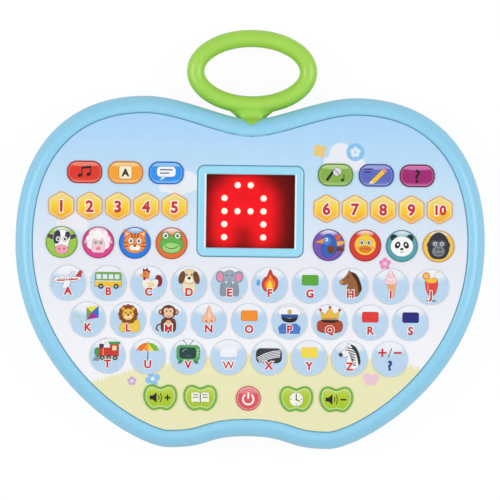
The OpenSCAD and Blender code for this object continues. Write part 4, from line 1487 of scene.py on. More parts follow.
@dataclass
class CarryHandle:
    """The green ring with its stalk and the tongue that is held between the two halves."""

    plastic: Finish
    ring_y: float = 102.0
    half_long: float = 28.9
    half_high: float = 17.0
    bar_w: float = 9.0
    bar_t: float = 10.0
    z: float = 14.0
    voxel_mm: float = 0.45
    rounds: int = 16
    fin_root_y: float = 81.2
    fin_tip_y: float = 74.5
    fin_half: float = 10.6
    fin_tip_half: float = 0.1
    fin_rows: int = 12
    fin_proud: float = 0.35
    fin_columns: int = 20
    fin_deep: float = 3.5
    fin_sharp: float = 60.0
    stalk_arch: Point = (0.94, 0.38)
    ridge: Point = (1.3, 0.45)
    ring_steps: int = 128
    bar_steps: int = 36

    def _ring(self) -> bpy.types.Object:
        """Sweep the bar's oval round the ring's ellipse with a tree of geometry nodes."""
        tree = bpy.data.node_groups.new("ring_sweep", "GeometryNodeTree")
        sockets = {
            name: tree.interface.new_socket(name, in_out="INPUT", socket_type="NodeSocketFloat")
            for name in ("Half Long", "Half High", "Bar Width", "Bar Thickness")
        }
        tree.interface.new_socket("Geometry", in_out="OUTPUT", socket_type="NodeSocketGeometry")
        given = add(tree, "NodeGroupInput").outputs
        ovals = []
        for steps, radius, across, along in (
            (self.ring_steps, 1.0, "Half Long", "Half High"),
            (self.bar_steps, 0.5, "Bar Width", "Bar Thickness"),
        ):
            circle = {"Resolution": steps, "Radius": radius}
            path = add(tree, "GeometryNodeCurvePrimitiveCircle", circle).outputs["Curve"]
            reach = add(tree, "ShaderNodeCombineXYZ", {0: given[across], 1: given[along], 2: 1.0})
            stretched = {"Geometry": path, "Scale": reach.outputs[0]}
            ovals.append(add(tree, "GeometryNodeTransform", stretched).outputs["Geometry"])
        curves = {"Curve": ovals[0], "Profile Curve": ovals[1]}
        swept = add(tree, "GeometryNodeCurveToMesh", curves).outputs["Mesh"]
        add(tree, "NodeGroupOutput", {0: swept})
        carrier = shown(bpy.data.meshes.new("ring"), "ring")
        modifier = carrier.modifiers.new("sweep", "NODES")
        modifier.node_group = tree
        sizes = (self.half_long, self.half_high, self.bar_w, self.bar_t)
        for socket, size in zip(sockets.values(), sizes, strict=True):
            modifier[socket.identifier] = size * MM
        done = plain_mesh(carrier, "ring")
        bpy.data.node_groups.remove(tree)
        return done

    def _fin(self, case: bpy.types.Object, material: bpy.types.Material) -> bpy.types.Object:
        """Build the pointed end of the stalk: it hugs the rim, with a low ridge down its middle."""
        rim = BVHTree.FromPolygons(
            [v.co for v in case.data.vertices], [tuple(p.vertices) for p in case.data.polygons]
        )
        draft = Draft()
        rings = []
        columns, (arch_w, arch_h), (ridge_w, ridge_h) = self.fin_columns, self.stalk_arch, self.ridge
        for k in range(self.fin_rows):
            t = k / (self.fin_rows - 1)
            y = self.fin_root_y + t * (self.fin_tip_y - self.fin_root_y)
            half = self.fin_half + t * (self.fin_tip_half - self.fin_half)
            section = []
            for u in ((2 * i - columns) / columns for i in range(columns + 1)):
                hit = rim.ray_cast(place(half * u, y, 2 * LEVELS.crest), Vector((0, 0, -1)))[0]
                free = self.z + (arch_h * self.bar_t) * math.sqrt(1 - (arch_w * u) ** 2)
                ridge = ridge_h * max(0.0, 1 - abs(half * u) / ridge_w)
                top = max(hit.z / MM if hit else 0.0, free) + self.fin_proud + ridge
                section.append((half * u, top))
            low = [(x, z - self.fin_deep) for x, z in reversed(section)]
            rings.append([draft.ring([(x, y)], z)[0] for x, z in [*section, *low]])
        draft.skin(rings)
        draft.face(rings[0])
        draft.face(rings[-1])
        return draft.build("fin", [material], self.fin_sharp)

    def build(self, case: bpy.types.Object) -> None:
        """Build the handle, ring and stalk grown into one moulding, with its end on the case."""
        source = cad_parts["carry_handle"]
        mesh = source.data.copy()
        mesh.transform(source.matrix_world)
        stalk = shown(mesh, "handle")
        ring = self._ring()
        ring.data.transform(Matrix.Translation(place(0, self.ring_y, self.z)))
        whole = joined("handle", [stalk, ring])
        remesh = whole.modifiers.new("grow together", "REMESH")
        remesh.mode = "VOXEL"
        remesh.voxel_size = self.voxel_mm * MM
        remesh.use_smooth_shade = True
        relax = whole.modifiers.new("relax", "SMOOTH")
        relax.factor = 0.5
        relax.iterations = self.rounds
        done = plain_mesh(whole, "handle")
        material = worn(self.plastic)
        done.data.materials.clear()
        done.data.materials.append(material)
        done.data.polygons.foreach_set("material_index", [0] * len(done.data.polygons))
        whole = joined("handle_moulding", [done, self._fin(case, material)])
        register(whole, "case", ["carry_handle"])


# Panel and display ----------------------------------------------------------------------------------


def dress(node: str, material: bpy.types.Material) -> None:
    """Give a CAD node that is shown as it is one material in all its slots."""
    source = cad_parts[node]
    if not source.material_slots:
        source.data.materials.append(material)
    for slot in source.material_slots:
        slot.material = material
    LOG.info("%s keeps its mesh and wears %s", node, material.name)


@dataclass
class PrintedPanel:
    """The printed film round the keys, with painted shadow lines along its edge under the rim's lip and
    round the display's frame.
    """

    film: Finish
    ink: Finish
    # the two lines are painted shadow: dark lines where the rim's lip and the display frame shade the film
    # beside them
    edge_line: str = "#84b6cc"
    frame_line: str = "#74a9c0"
    edge_inset: float = 8.85
    edge_w: float = 0.25
    frame_size: Point = (54.3, 46.6)
    frame_w: float = 0.3
    corner: float = 3.65

    def build(self) -> None:
        """Dress the film and lay its two painted shadow lines over it."""
        dress("panel_overlay", worn(self.film))
        draft = Draft()
        z = LEVELS.panel + LAYER
        outer = draft.ring(CASE.plan(self.edge_inset), z)
        inner = draft.ring(CASE.plan(self.edge_inset + self.edge_w), z)
        draft.wall(outer, inner, ink=self.edge_line, flat=True, sheet=True)
        w, h = self.frame_size
        home = (0.0, DISPLAY_Y)
        near = draft.ring(box_plan(w, h, self.corner), z, home)
        far = draft.ring(
            box_plan(w + 2 * self.frame_w, h + 2 * self.frame_w, self.corner + self.frame_w), z, home
        )
        draft.wall(near, far, ink=self.frame_line, flat=True, sheet=True)
        register(draft.build("panel_lines", [worn(self.ink)]), "case")


@dataclass
class LampDisplay:
    """The red window and its five rows of five lamps, lit as a plain capital A."""

    acrylic: Finish
    spot: Finish
    lit_lamp: Finish
    dark_lamp: Finish
    board: Finish
    pitch: float = 6.65
    size: Point = (50.2, 42.5)
    under: float = 22.85
    board_top: float = 17.1
    lamp_h: float = 5.3
    lamp_r: float = 1.5
    flange_r: float = 1.8
    reach_mm: float = 4.9
    cell_mm: float = 0.5
    halo_r: float = 2.1
    corner: float = 0.9
    flange_t: float = 1.0
    tip_r: float = 0.05
    dome_steps: int = 6
    lamp_steps: int = 20
    spot_steps: int = 24
    spot_rings: int = 12
    rows: tuple[str, ...] = (".##..", "#..#.", "####.", "#..#.", "#..#.")

    def places(self, sign: str) -> Plan:
        """Give the places of the lamps that are lit ("#") or dark (".")."""
        return [
            ((column - 2) * self.pitch, DISPLAY_Y + (2 - row) * self.pitch)
            for row, signs in enumerate(self.rows)
            for column, found in enumerate(signs)
            if found == sign
        ]

    def _glow(self, x: float, y: float, lit: Plan) -> float:
        """How strongly the lit lamps shine through the window at a place, from 0 to 1."""
        dark = 1.0
        for px, py in lit:
            dark *= 1 - math.exp(-((x - px) ** 2 + (y - py) ** 2) / (2 * self.reach_mm**2))
        return 1 - dark

    def _window(self, material: bpy.types.Material) -> bpy.types.Object:
        """Make the red sheet with the share of light at each of its points."""
        w, h = self.size
        lit = self.places("#")
        columns, rows = round(w / self.cell_mm), round(h / self.cell_mm)
        home = (0.0, DISPLAY_Y)
        draft = Draft()
        for j in range(rows + 1):
            for i in range(columns + 1):
                spot = (w * (i / columns - 0.5), h * (j / rows - 0.5))
                draft.ring([spot], LEVELS.lens_top, home)
        for j in range(rows):
            for i in range(columns):
                a = j * (columns + 1) + i
                draft.face((a, a + 1, a + columns + 2, a + columns + 1), flat=True, sheet=True)
        block = box_plan(w, h, self.corner)
        rings = [draft.ring(block, z, home) for z in (LEVELS.lens_top - LAYER, self.under)]
        draft.skin(rings)
        draft.cap(rings[0])
        draft.cap(rings[1])
        done = draft.build("red_window", [material])
        share = done.data.attributes.new("glow", "FLOAT", "POINT")
        share.data.foreach_set("value", [self._glow(x, y, lit) for x, y, _ in draft.points])
        return done

    def _spot(self) -> bpy.types.Mesh:
        """Draw the image of one lit lamp: rings whose fall runs from its middle to its edge."""
        steps, count = self.spot_steps, self.spot_rings
        radii = [self.halo_r * i / count for i in range(count + 1)]
        mesh = bpy.data.meshes.new("lit_spot")
        points = [Vector((x, y, 0)) * MM for r in radii for x, y in on_circle(steps, r)]
        faces = [
            (k * steps + i, (k + 1) * steps + i, (k + 1) * steps + (i + 1) % steps,
             k * steps + (i + 1) % steps)
            for k in range(1, len(radii) - 1)
            for i in range(steps)
        ] + [tuple(range(steps, 2 * steps))]
        mesh.from_pydata(points, [], faces)
        fall = mesh.attributes.new("fall", "FLOAT", "POINT")
        fall.data.foreach_set("value", [r / self.halo_r for r in radii for _ in range(steps)])
        return mesh

    def _lamp(self) -> bpy.types.Mesh:
        """Turn one lamp: a flange, a body and a round end."""
        r, flange = self.lamp_r, self.flange_t
        dome = [(max(r - r * u, self.tip_r), self.lamp_h - r * v) for u, v in quarter(self.dome_steps)]
        foot = [(self.flange_r, 0), (self.flange_r, flange), (r, flange)]
        return turned([*foot, *dome], self.lamp_steps)

    def build(self) -> None:
        """Build the window, the images of the lit lamps, the lamps and their board."""
        register(self._window(worn(self.acrylic)), "case", ["display_window"])
        spots = [place(x, y, LEVELS.lens_top + 2 * LAYER) for x, y in self.places("#")]
        images = stamped("lit_spots", self._spot(), spots, worn(self.spot))
        register(images, "case")
        lamps = [
            stamped(
                name, self._lamp(), [place(x, y, self.board_top) for x, y in self.places(sign)],
                worn(finish),
            )
            for name, sign, finish in (("lit", "#", self.lit_lamp), ("dark", ".", self.dark_lamp))
        ]
        register(joined("lamps", lamps), "case", ["display_lamps"])
        dress("display_board", worn(self.board))


@dataclass
class CarriedPart:
    """A part that keeps the form of its CAD node, shaded smooth where it is round."""

    node: str
    body: str
    slot: str
    finish: Finish

    def build(self) -> None:
        """Smooth a copy of the node, dress it and show it in the node's place."""
        copy = smoothed_copy(self.node, worn(self.finish))
        register(copy, self.body, [self.node])


# Pictures on the keys -------------------------------------------------------------------------------

OUTLINE = "#5a5d68"


def tile(
    x: float, y: float, w: float, h: float, corner: float, ink: str, edge: str, steps: int = 4
) -> Patch:
    """Give a rectangle with round corners about a point."""
    return Patch([(px + x, py + y) for px, py in box_plan(w, h, corner, steps)], ink, edge)


def swatch(ink: str, edge: str) -> list[Mark]:
    """Give a plain patch of colour with round corners for the upper half of a letter key."""
    return [tile(0.0, 2.8, 8.2, 5.1, 0.8, ink, edge)]


def dots(spots: Iterable[Point], r: float, ink: str, edge: str = "") -> list[Mark]:
    """Give round dots of one size and ink."""
    return [Oval(x, y, r, r, ink, edge=edge) for x, y in spots]


def wheels(spots: Sequence[Point], tyre_r: float, tyre: str, hub_r: float, hub: str) -> list[Mark]:
    """Give wheels, each with a hub in its middle."""
    return dots(spots, tyre_r, tyre) + dots(spots, hub_r, hub)


def eyes(x: float, y: float, size: float, white: float = 0.0) -> list[Mark]:
    """Give a pair of eyes: a dark spot with a light glint, on a white ground if that has a size."""
    marks: list[Mark] = [Oval(x, y, white, white * 1.15, WHITE, edge=OUTLINE)] if white else []
    marks += [Oval(x, y, size, size * 1.2, BLACK), Oval(x + 0.15, y + 0.2, size / 3, size / 3, WHITE)]
    return mirrored(marks)


PLANE: list[Mark] = [
    Patch([(-0.8, 2.4), (2.0, 5.9), (3.3, 5.9), (2.0, 2.4)], "#dfe4ec", OUTLINE),
    Patch([(3.4, 2.7), (6.0, 6.4), (7.2, 6.4), (6.4, 2.4)], "#cf3f3f", OUTLINE),
    Blob([(-7.0, 1.5), (-5.8, 2.9), (-3.0, 3.4), (2.0, 3.2), (5.6, 3.0), (6.8, 2.2), (4.0, 1.1),
          (0.0, 0.3), (-4.0, 0.1), (-6.2, 0.6)], WHITE, OUTLINE),
    Stroke([(-5.9, 1.3), (0.0, 1.4), (5.2, 2.2)], 0.8, "#cf3f3f"),
    *[Oval(-4.6 + 1.3 * i, 2.4, 0.35, 0.4, "#5d86b8") for i in range(6)],
    Patch([(-1.8, 1.3), (1.6, 1.3), (0.2, -2.6), (-3.0, -3.0)], "#f3f5f9", OUTLINE),
]
BUS: list[Mark] = [
    tile(-0.1, 3.2, 13.4, 4.9, 0.9, "#7cb356", "#557a3c", 3),
    *[Patch([(-6.1 + x, 2.2), (-3.7 + x, 2.2), (-3.7 + x, 4.6), (-6.1 + x, 4.6)], "#dcecef", "#55705a")
      for x in (3.1 * i for i in range(4))],
    tile(-0.1, -0.3, 13.6, 2.7, 0.6, "#f3c430", "#8a6c1c", 3),
    Stroke([(-6.6, 1.2), (6.4, 1.2)], 0.4, "#e9eef3"),
    *wheels([(-3.8, -1.5), (4.0, -1.5)], 1.35, "#3b3e46", 0.6, "#b8bec8"),
    Oval(-6.3, -0.2, 0.4, 0.4, "#fdf2c0"),
]
HEN: list[Mark] = [
    Blob([(3.0, 0.4), (3.8, 4.2), (6.0, 4.2), (7.0, 1.8), (6.4, -0.8), (4.6, -1.4)], "#8b2c34"),
    Blob([(-3.4, 1.2), (-2.0, 3.4), (-0.4, 3.2), (0.8, 1.6), (3.2, 2.2), (4.8, 1.6), (4.2, -1.2),
          (2.0, -3.0), (-1.0, -3.0), (-3.0, -1.4)], "#f6efe6", "#b7a692"),
    Blob([(-0.6, 0.6), (1.6, 0.8), (3.4, -0.4), (1.6, -1.8), (-0.4, -1.2)], "#f0d9a8"),
    Blob([(-2.8, 6.0), (-2.9, 7.8), (-1.8, 7.2), (-0.9, 8.2), (-0.3, 6.9), (0.6, 6.6), (0.0, 5.2)],
         "#7d2027"),
    Oval(-1.5, 4.5, 1.7, 2.0, "#e98a45", edge="#a8552a"),
    Patch([(-3.0, 5.0), (-4.8, 4.2), (-2.9, 3.7)], "#f2b23a", "#b07820"),
    Oval(-2.2, 2.7, 0.6, 1.0, "#b02b31"),
    Oval(-1.9, 5.0, 0.3, 0.35, BLACK),
    Stroke([(-0.4, -2.9), (-0.6, -5.2)], 0.4, "#d98a34"),
    Stroke([(1.4, -2.9), (1.4, -5.2)], 0.4, "#d98a34"),
]
DOG: list[Mark] = [
    Blob([(-2.4, 1.0), (2.4, 1.0), (3.4, -2.0), (2.4, -4.6), (-2.4, -4.6), (-3.4, -2.0)], "#f1dfc0",
         "#a98a60"),
    Oval(0.0, 4.1, 4.0, 3.7, "#ecd5a6", edge="#8f6f45"),
    *mirrored([Oval(-3.7, 3.4, 1.4, 3.2, "#74462a", -14, edge="#4a2b18")]),
    Oval(0.0, 2.3, 2.1, 1.6, "#fbf2e0"),
    Oval(0.0, 3.1, 0.9, 0.65, BLACK),
    Stroke([(0.0, 2.6), (0.0, 1.7)], 0.2, "#6b4a30"),
    *eyes(1.4, 4.9, 0.45),
]
ELEPHANT: list[Mark] = [
    Blob([(-3.4, 0.8), (3.4, 0.8), (4.6, -1.6), (4.4, -5.4), (1.6, -5.4), (1.4, -3.6), (-1.4, -3.6),
          (-1.6, -5.4), (-4.4, -5.4), (-4.6, -1.6)], "#8c97a8", "#5d6674"),
    *mirrored([Oval(-4.5, 4.0, 2.4, 2.9, "#93a0b1", 10, "#5d6674"),
               Oval(-4.6, 3.8, 1.6, 2.1, "#ef8ea8", 10)]),
    Oval(0.0, 4.2, 3.2, 3.2, "#9eabbb", edge="#5d6674"),
    Stroke([(0.0, 3.4), (0.1, 0.8), (-0.8, -1.2), (-2.4, -1.4)], 1.7, "#93a0b1"),
    *mirrored([Patch([(1.1, 1.6), (1.9, 1.7), (2.0, -0.2)], "#fbf6ea")]),
    *eyes(1.4, 4.8, 0.4),
]
FLAME: list[Mark] = [
    Blob([(0.2, 8.0), (1.6, 5.4), (3.6, 3.6), (4.2, 0.4), (2.8, -2.6), (0.0, -3.6), (-2.8, -2.6),
          (-4.0, 0.4), (-3.0, 3.4), (-1.4, 4.6)], "#cf3d2c", "#8c231c"),
    Blob([(0.2, 5.4), (1.4, 3.2), (2.8, 1.2), (2.2, -1.6), (0.0, -3.0), (-2.2, -1.6), (-2.6, 1.0),
          (-1.2, 2.6)], "#ef8a33"),
    Blob([(0.1, 2.4), (1.3, 0.4), (1.2, -1.8), (0.0, -2.8), (-1.2, -1.8), (-1.3, 0.2)], "#f9d84f"),
    Blob([(-5.8, 3.0), (-4.9, 1.2), (-5.3, -0.2), (-6.4, -0.2), (-6.8, 1.2)], "#5aa9e6"),
]
LONG_HEAD = (
    (-3.0, 0.6), (-4.9, 1.0), (-5.4, 2.4), (-3.0, 4.4), (-1.4, 6.4), (-0.8, 8.0), (0.4, 6.8),
    (2.4, 5.6), (3.6, 2.4), (4.6, -2.0), (3.6, -5.0), (-1.6, -5.0), (-1.8, -1.6), (-1.0, 1.2),
)
HORSE: list[Mark] = [
    Blob(LONG_HEAD, "#9c6037", "#5f371d"),
    Blob([(0.2, 7.2), (2.8, 6.2), (4.6, 3.2), (5.8, -1.4), (4.4, -3.4), (3.8, -0.4), (2.8, 2.8),
          (1.2, 5.2)], "#43281b"),
    Oval(-1.3, 4.6, 0.4, 0.5, BLACK), Oval(-4.3, 2.1, 0.3, 0.4, "#4b2a18"),
    Blob([(-4.9, 1.2), (-5.3, 2.4), (-4.4, 3.0), (-3.7, 1.6)], "#c8926a"),
]
ICE_CREAM: list[Mark] = [
    Patch([(-2.2, 1.6), (2.6, 1.0), (1.5, -5.6), (0.9, -5.8)], "#f2b27c", "#c2552c"),
    Stroke([(-1.2, 1.0), (1.2, -3.8)], 0.2, "#d68b53"), Stroke([(0.6, 0.9), (1.3, -2.4)], 0.2, "#d68b53"),
    *[Oval(x, y, rx, ry, ink, edge="#c78d92") for x, y, rx, ry, ink in (
        (0.0, 2.6, 3.1, 1.6, "#f7d3d4"), (0.0, 4.2, 2.5, 1.4, "#fae0e0"),
        (-0.1, 5.8, 1.8, 1.2, "#f7cfd2"), (-0.2, 7.1, 0.9, 1.0, "#fbe6e6"))],
]
JUICE: list[Mark] = [
    Stroke([(0.8, 4.0), (2.4, 7.4), (4.8, 8.2)], 0.4, "#e6cf55"),
    Oval(-2.6, 5.6, 1.8, 1.8, "#f0993a", edge="#c06f20"), Oval(-2.6, 5.6, 1.2, 1.2, "#f9c374"),
    Blob([(-2.6, 4.2), (0.0, 4.4), (2.8, 4.2), (3.2, 0.6), (2.0, -3.4), (0.2, -4.4), (-1.6, -3.4),
          (-2.9, 0.6)], "#e4483c", "#a02a28"),
    Blob([(-2.5, 4.2), (0.0, 4.6), (2.7, 4.2), (2.6, 2.6), (0.0, 2.0), (-2.5, 2.6)], "#f8c13f"),
    Stroke([(-1.8, 2.0), (-1.5, -1.8)], 0.5, "#f39a88"),
    Stroke([(0.2, -4.4), (0.2, -6.6)], 0.4, "#7a8490"), Oval(0.2, -7.0, 2.6, 0.45, "#6f7884"),
]
KITE: list[Mark] = [
    Stroke([(-0.5, -0.1), (-1.4, -1.5), (-2.8, -1.9), (-3.9, -0.4), (-4.6, 1.3), (-6.0, 2.2), (-7.2, 1.6)],
           0.3, "#8cc152"),
    *[Oval(x, y, 0.5, 0.3, WHITE, 30, "#8cc152") for x, y in ((-1.4, -1.5), (-3.9, -0.4), (-6.0, 2.2))],
    Patch([(-0.6, 6.2), (1.9, 3.7), (-0.6, -0.2)], "#6aa84a"),
    Patch([(-0.6, 6.2), (5.5, 7.0), (1.9, 3.7)], "#f0e23c"),
    Patch([(5.5, 7.0), (5.5, 1.0), (1.9, 3.7)], "#2f6fd0"),
    Patch([(5.5, 1.0), (-0.6, -0.2), (1.9, 3.7)], "#b02c8c"),
]
LION: list[Mark] = [
    Blob([(-1.0, 0.6), (4.6, 0.2), (6.0, -3.0), (4.4, -6.0), (-3.4, -6.0), (-3.8, -2.6)], "#f0cb4c",
         "#a98220"),
    *dots(on_circle(12, 3.6, 0.0, 2.9), 1.5, "#8d4a22"),
    Oval(0.0, 2.9, 3.9, 3.8, "#8d4a22"),
    *mirrored([Oval(-2.6, 5.6, 0.9, 0.9, "#e9a53f", edge="#6b3517")]),
    Oval(0.0, 2.8, 2.9, 2.9, "#f2bb4a"),
    Oval(0.0, 1.5, 1.7, 1.2, "#fdebbf"), Oval(0.0, 2.4, 0.7, 0.5, "#5b2b16"),
    Stroke([(-0.8, 1.1), (0.0, 0.8), (0.8, 1.1)], 0.25, "#a83a2a"),
    *eyes(1.3, 3.7, 0.42),
]
MONKEY: list[Mark] = [
    Blob([(-2.6, 0.8), (2.6, 0.8), (3.8, -2.4), (2.8, -5.8), (-2.8, -5.8), (-3.8, -2.4)], "#6d3c2a",
         "#44241a"),
    Oval(0.0, -2.4, 1.9, 2.5, "#eab48f"),
    Stroke([(-3.2, -1.6), (-5.6, -2.6), (-6.2, -4.4), (-5.0, -5.4)], 0.7, "#6d3c2a"),
    *mirrored([Oval(-3.7, 4.2, 1.4, 1.5, "#6d3c2a"), Oval(-3.8, 4.2, 0.8, 0.9, "#eab48f")]),
    Oval(0.0, 4.3, 3.6, 3.4, "#6d3c2a", edge="#44241a"),
    *mirrored([Oval(-1.1, 4.8, 1.4, 1.5, "#f3c8a4")]),
    Oval(0.0, 2.8, 2.4, 1.5, "#f3c8a4"),
    Stroke([(-1.1, 2.4), (0.0, 2.0), (1.1, 2.4)], 0.25, "#8c3a2c"),
    *eyes(1.0, 4.7, 0.42),
]
NOSE: list[Mark] = [
    Blob([(0.0, 7.6), (1.0, 5.6), (1.8, 3.2), (3.4, 1.4), (3.2, -0.3), (1.6, -0.6), (0.0, -1.3),
          (-1.6, -0.6), (-3.2, -0.3), (-3.4, 1.4), (-1.8, 3.2), (-1.0, 5.6)], "#f4bb98", "#c9835e"),
    Blob([(0.2, 6.4), (0.7, 4.0), (0.6, 1.2), (0.0, 0.6), (-0.3, 3.6)], "#fad9c2"),
    *mirrored([Oval(-1.3, -0.1, 0.6, 0.35, "#a9603f", 12)]),
]
CAP: list[Mark] = [
    Blob([(-4.6, 3.2), (-5.8, 5.2), (-3.6, 7.2), (0.0, 7.9), (3.6, 7.2), (5.8, 5.2), (4.6, 3.2),
          (0.0, 2.8)], "#f4f6fa", OUTLINE),
    Patch([(-4.4, 3.6), (4.4, 3.6), (4.1, 2.0), (-4.1, 2.0)], "#31529b", "#1d2c55"),
    Blob([(-3.9, 2.2), (0.0, 1.6), (3.9, 2.2), (3.0, 0.2), (0.0, -0.5), (-3.0, 0.2)], "#22242d"),
    Oval(0.0, 5.0, 0.9, 1.0, "#d9b64c", edge="#8a6c1c"),
    Patch([(-3.4, -1.0), (0.0, -1.8), (3.4, -1.0), (5.6, -3.0), (5.0, -6.0), (-5.0, -6.0),
           (-5.6, -3.0)], "#4d7ccc", "#2a4a8a"),
    Patch([(-1.0, -1.6), (1.0, -1.6), (0.5, -3.4), (0.0, -3.9), (-0.5, -3.4)], "#22242d"),
]
CROWN: list[Mark] = [
    Blob([(-4.4, 0.8), (4.4, 0.8), (6.4, -1.0), (5.6, -4.6), (0.0, -5.6), (-5.6, -4.6), (-6.4, -1.0)],
         "#b4492f", "#6f2719"),
    Oval(0.0, 0.9, 4.5, 1.3, "#2a2329"),
    Patch([(-3.9, 1.2), (-4.9, 6.0), (-2.4, 3.9), (0.0, 7.4), (2.4, 3.9), (4.9, 6.0), (3.9, 1.2)],
          "#ecbb3f", "#8a6318"),
    Stroke([(-3.8, 1.7), (3.8, 1.7)], 0.8, "#c9922a"),
    *dots([(-4.9, 6.2), (0.0, 7.6), (4.9, 6.2)], 0.55, "#c8323a", "#7d1d22"),
    *dots([(-2.2, 1.7), (0.0, 1.7), (2.2, 1.7)], 0.4, "#3a86d8"),
]
TRAIN: list[Mark] = [
    *[Oval(x, y, r, r, WHITE, edge="#8d949e") for x, y, r in ((-2.2, 7.2, 1.2), (-0.9, 7.8, 0.9))],
    Patch([(-3.9, 3.6), (-2.3, 3.6), (-2.0, 5.9), (-4.2, 5.9)], "#3c4048", "#23252b"),
    Patch([(-5.6, 0.0), (1.8, 0.0), (1.8, 4.0), (-5.0, 4.0)], "#cc3d34", "#7c201d"),
    Patch([(1.4, 0.0), (5.6, 0.0), (5.6, 6.2), (1.4, 6.2)], "#cc3d34", "#7c201d"),
    Patch([(2.4, 2.8), (4.6, 2.8), (4.6, 5.2), (2.4, 5.2)], "#f5dfa0", "#7c201d"),
    Stroke([(0.6, 6.6), (6.4, 6.6)], 1.3, "#3f9a4e"), Stroke([(-2.2, 0.1), (-2.2, 3.9)], 0.4, "#e8b83e"),
    Oval(-5.4, 2.0, 1.1, 2.0, "#4e9a58", edge="#2a5c33"),
    Patch([(-5.8, -0.2), (-3.6, -0.2), (-4.6, -2.4), (-7.4, -2.4)], "#8b929c", "#565c66"),
    *wheels([(-2.6, -1.0), (0.6, -1.0), (3.9, -1.0)], 1.2, "#33363e", 0.5, "#d9c47a"),
]
UMBRELLA: list[Mark] = [
    Stroke([(0.0, 7.4), (0.0, 3.0), (0.0, -1.4), (-0.8, -2.4), (-1.8, -2.2), (-2.1, -1.4)], 0.45,
           "#3c4048"),
    Patch([(0.0, 7.0), (-2.4, 6.6), (-4.6, 5.2), (-5.9, 2.6), (-4.7, 3.1), (-3.5, 2.5)], "#e8742e"),
    Patch([(0.0, 7.0), (-3.5, 2.5), (-1.8, 3.2), (0.0, 2.6)], "#f09a3a"),
    Patch([(0.0, 7.0), (0.0, 2.6), (1.8, 3.2), (3.5, 2.5)], "#f2d63f"),
    Patch([(0.0, 7.0), (3.5, 2.5), (4.7, 3.1), (5.9, 2.6), (4.6, 5.2), (2.4, 6.6)], "#7cba3e"),
]
TELEVISION: list[Mark] = [
    Stroke([(-2.4, 8.2), (0.0, 5.2), (2.4, 8.2)], 0.3, "#596068"),
    *mirrored([Oval(-2.4, 8.1, 0.4, 0.3, "#596068"),
               Patch([(2.4, -1.8), (4.6, -1.8), (5.2, -3.4), (3.8, -3.4)], "#3f8a4c", "#27562f")]),
    tile(0.0, 1.9, 11.6, 7.8, 1.9, "#58ab62", "#2c6e3a"),
    tile(-0.3, 1.9, 8.2, 5.4, 1.3, "#2a4644", "#1c302e"),
    Stroke([(-2.9, 2.4), (-2.2, 3.6), (-0.6, 3.9)], 0.5, "#6fa08e"),
    Stroke([(-1.2, 0.4), (1.6, 0.4)], 0.4, "#4d7a6e"),
    *dots([(4.9, 0.6), (4.9, 2.0), (4.9, 3.4)], 0.4, "#cfe7c8"),
]
STRIPES: list[Mark] = [
    tile(0.0, 1.0, 13.0, 7.4, 2.4, "#3a3b40", "#6b6d74"),
    *[Stroke([(-6.1 + 0.4 * i, -0.2 - 0.7 * i), (-2.2 + 0.6 * i, 1.9 - 0.6 * i),
              (2.0 + 0.6 * i, 3.2 - 0.7 * i), (6.0 - 0.1 * i, 3.6 - 0.8 * i)], 0.42, "#eef0f4")
      for i in range(5)],
]
ZEBRA: list[Mark] = [
    Blob(LONG_HEAD, "#f2f3f5", "#33353b"),
    Blob([(0.4, 7.2), (2.8, 6.2), (4.6, 3.2), (5.6, -1.4), (4.7, -3.4), (4.0, -0.4), (3.0, 2.8),
          (1.4, 5.2)], "#33353b"),
    *[Stroke([(-1.6 + 0.5 * i, 5.6 - 1.2 * i), (0.4 + 0.35 * i, 5.3 - 1.45 * i),
              (2.6 + 0.1 * i, 4.4 - 1.3 * i)], 0.55, "#33353b") for i in range(7)],
    Blob([(-4.9, 1.0), (-5.4, 2.3), (-4.2, 3.0), (-3.4, 1.4)], "#3d3f46"),
    Oval(-1.9, 4.3, 0.35, 0.4, BLACK),
]
PLUS_MINUS: list[Mark] = [
    Stroke([(-6.0, 3.2), (-1.8, 3.2)], 0.95, RED), Stroke([(-3.9, 5.3), (-3.9, 1.1)], 0.95, RED),
    Stroke([(-1.0, 0.6), (0.9, 5.6)], 0.5, "#6f7684"), Stroke([(1.9, 3.2), (5.9, 3.2)], 0.95, RED),
]
ART: dict[str, Sequence[Mark]] = {
    "A": PLANE, "B": BUS, "C": HEN, "D": DOG, "E": ELEPHANT, "F": FLAME,
    "G": swatch("#5caa3b", "#3f7f28"), "H": HORSE, "I": ICE_CREAM, "J": JUICE, "K": KITE, "L": LION,
    "M": MONKEY, "N": NOSE, "O": swatch("#f6912e", "#c26c1c"), "P": CAP, "Q": CROWN,
    "R": swatch("#e43a38", "#a82625"), "S": swatch("#28297e", "#191a55"), "T": TRAIN, "U": UMBRELLA,
    "V": TELEVISION, "W": swatch("#f1f4fa", "#dfe7f2"), "X": STRIPES,
    "Y": swatch("#f5dc50", "#e8c94a"), "Z": ZEBRA, "+": PLUS_MINUS,
}


@dataclass(frozen=True)
class Animal:
    """The picture of one animal key: its ground, the tint over it, its outline and its marks."""

    ground: str
    upper: str
    line: str
    marks: Sequence[Mark]


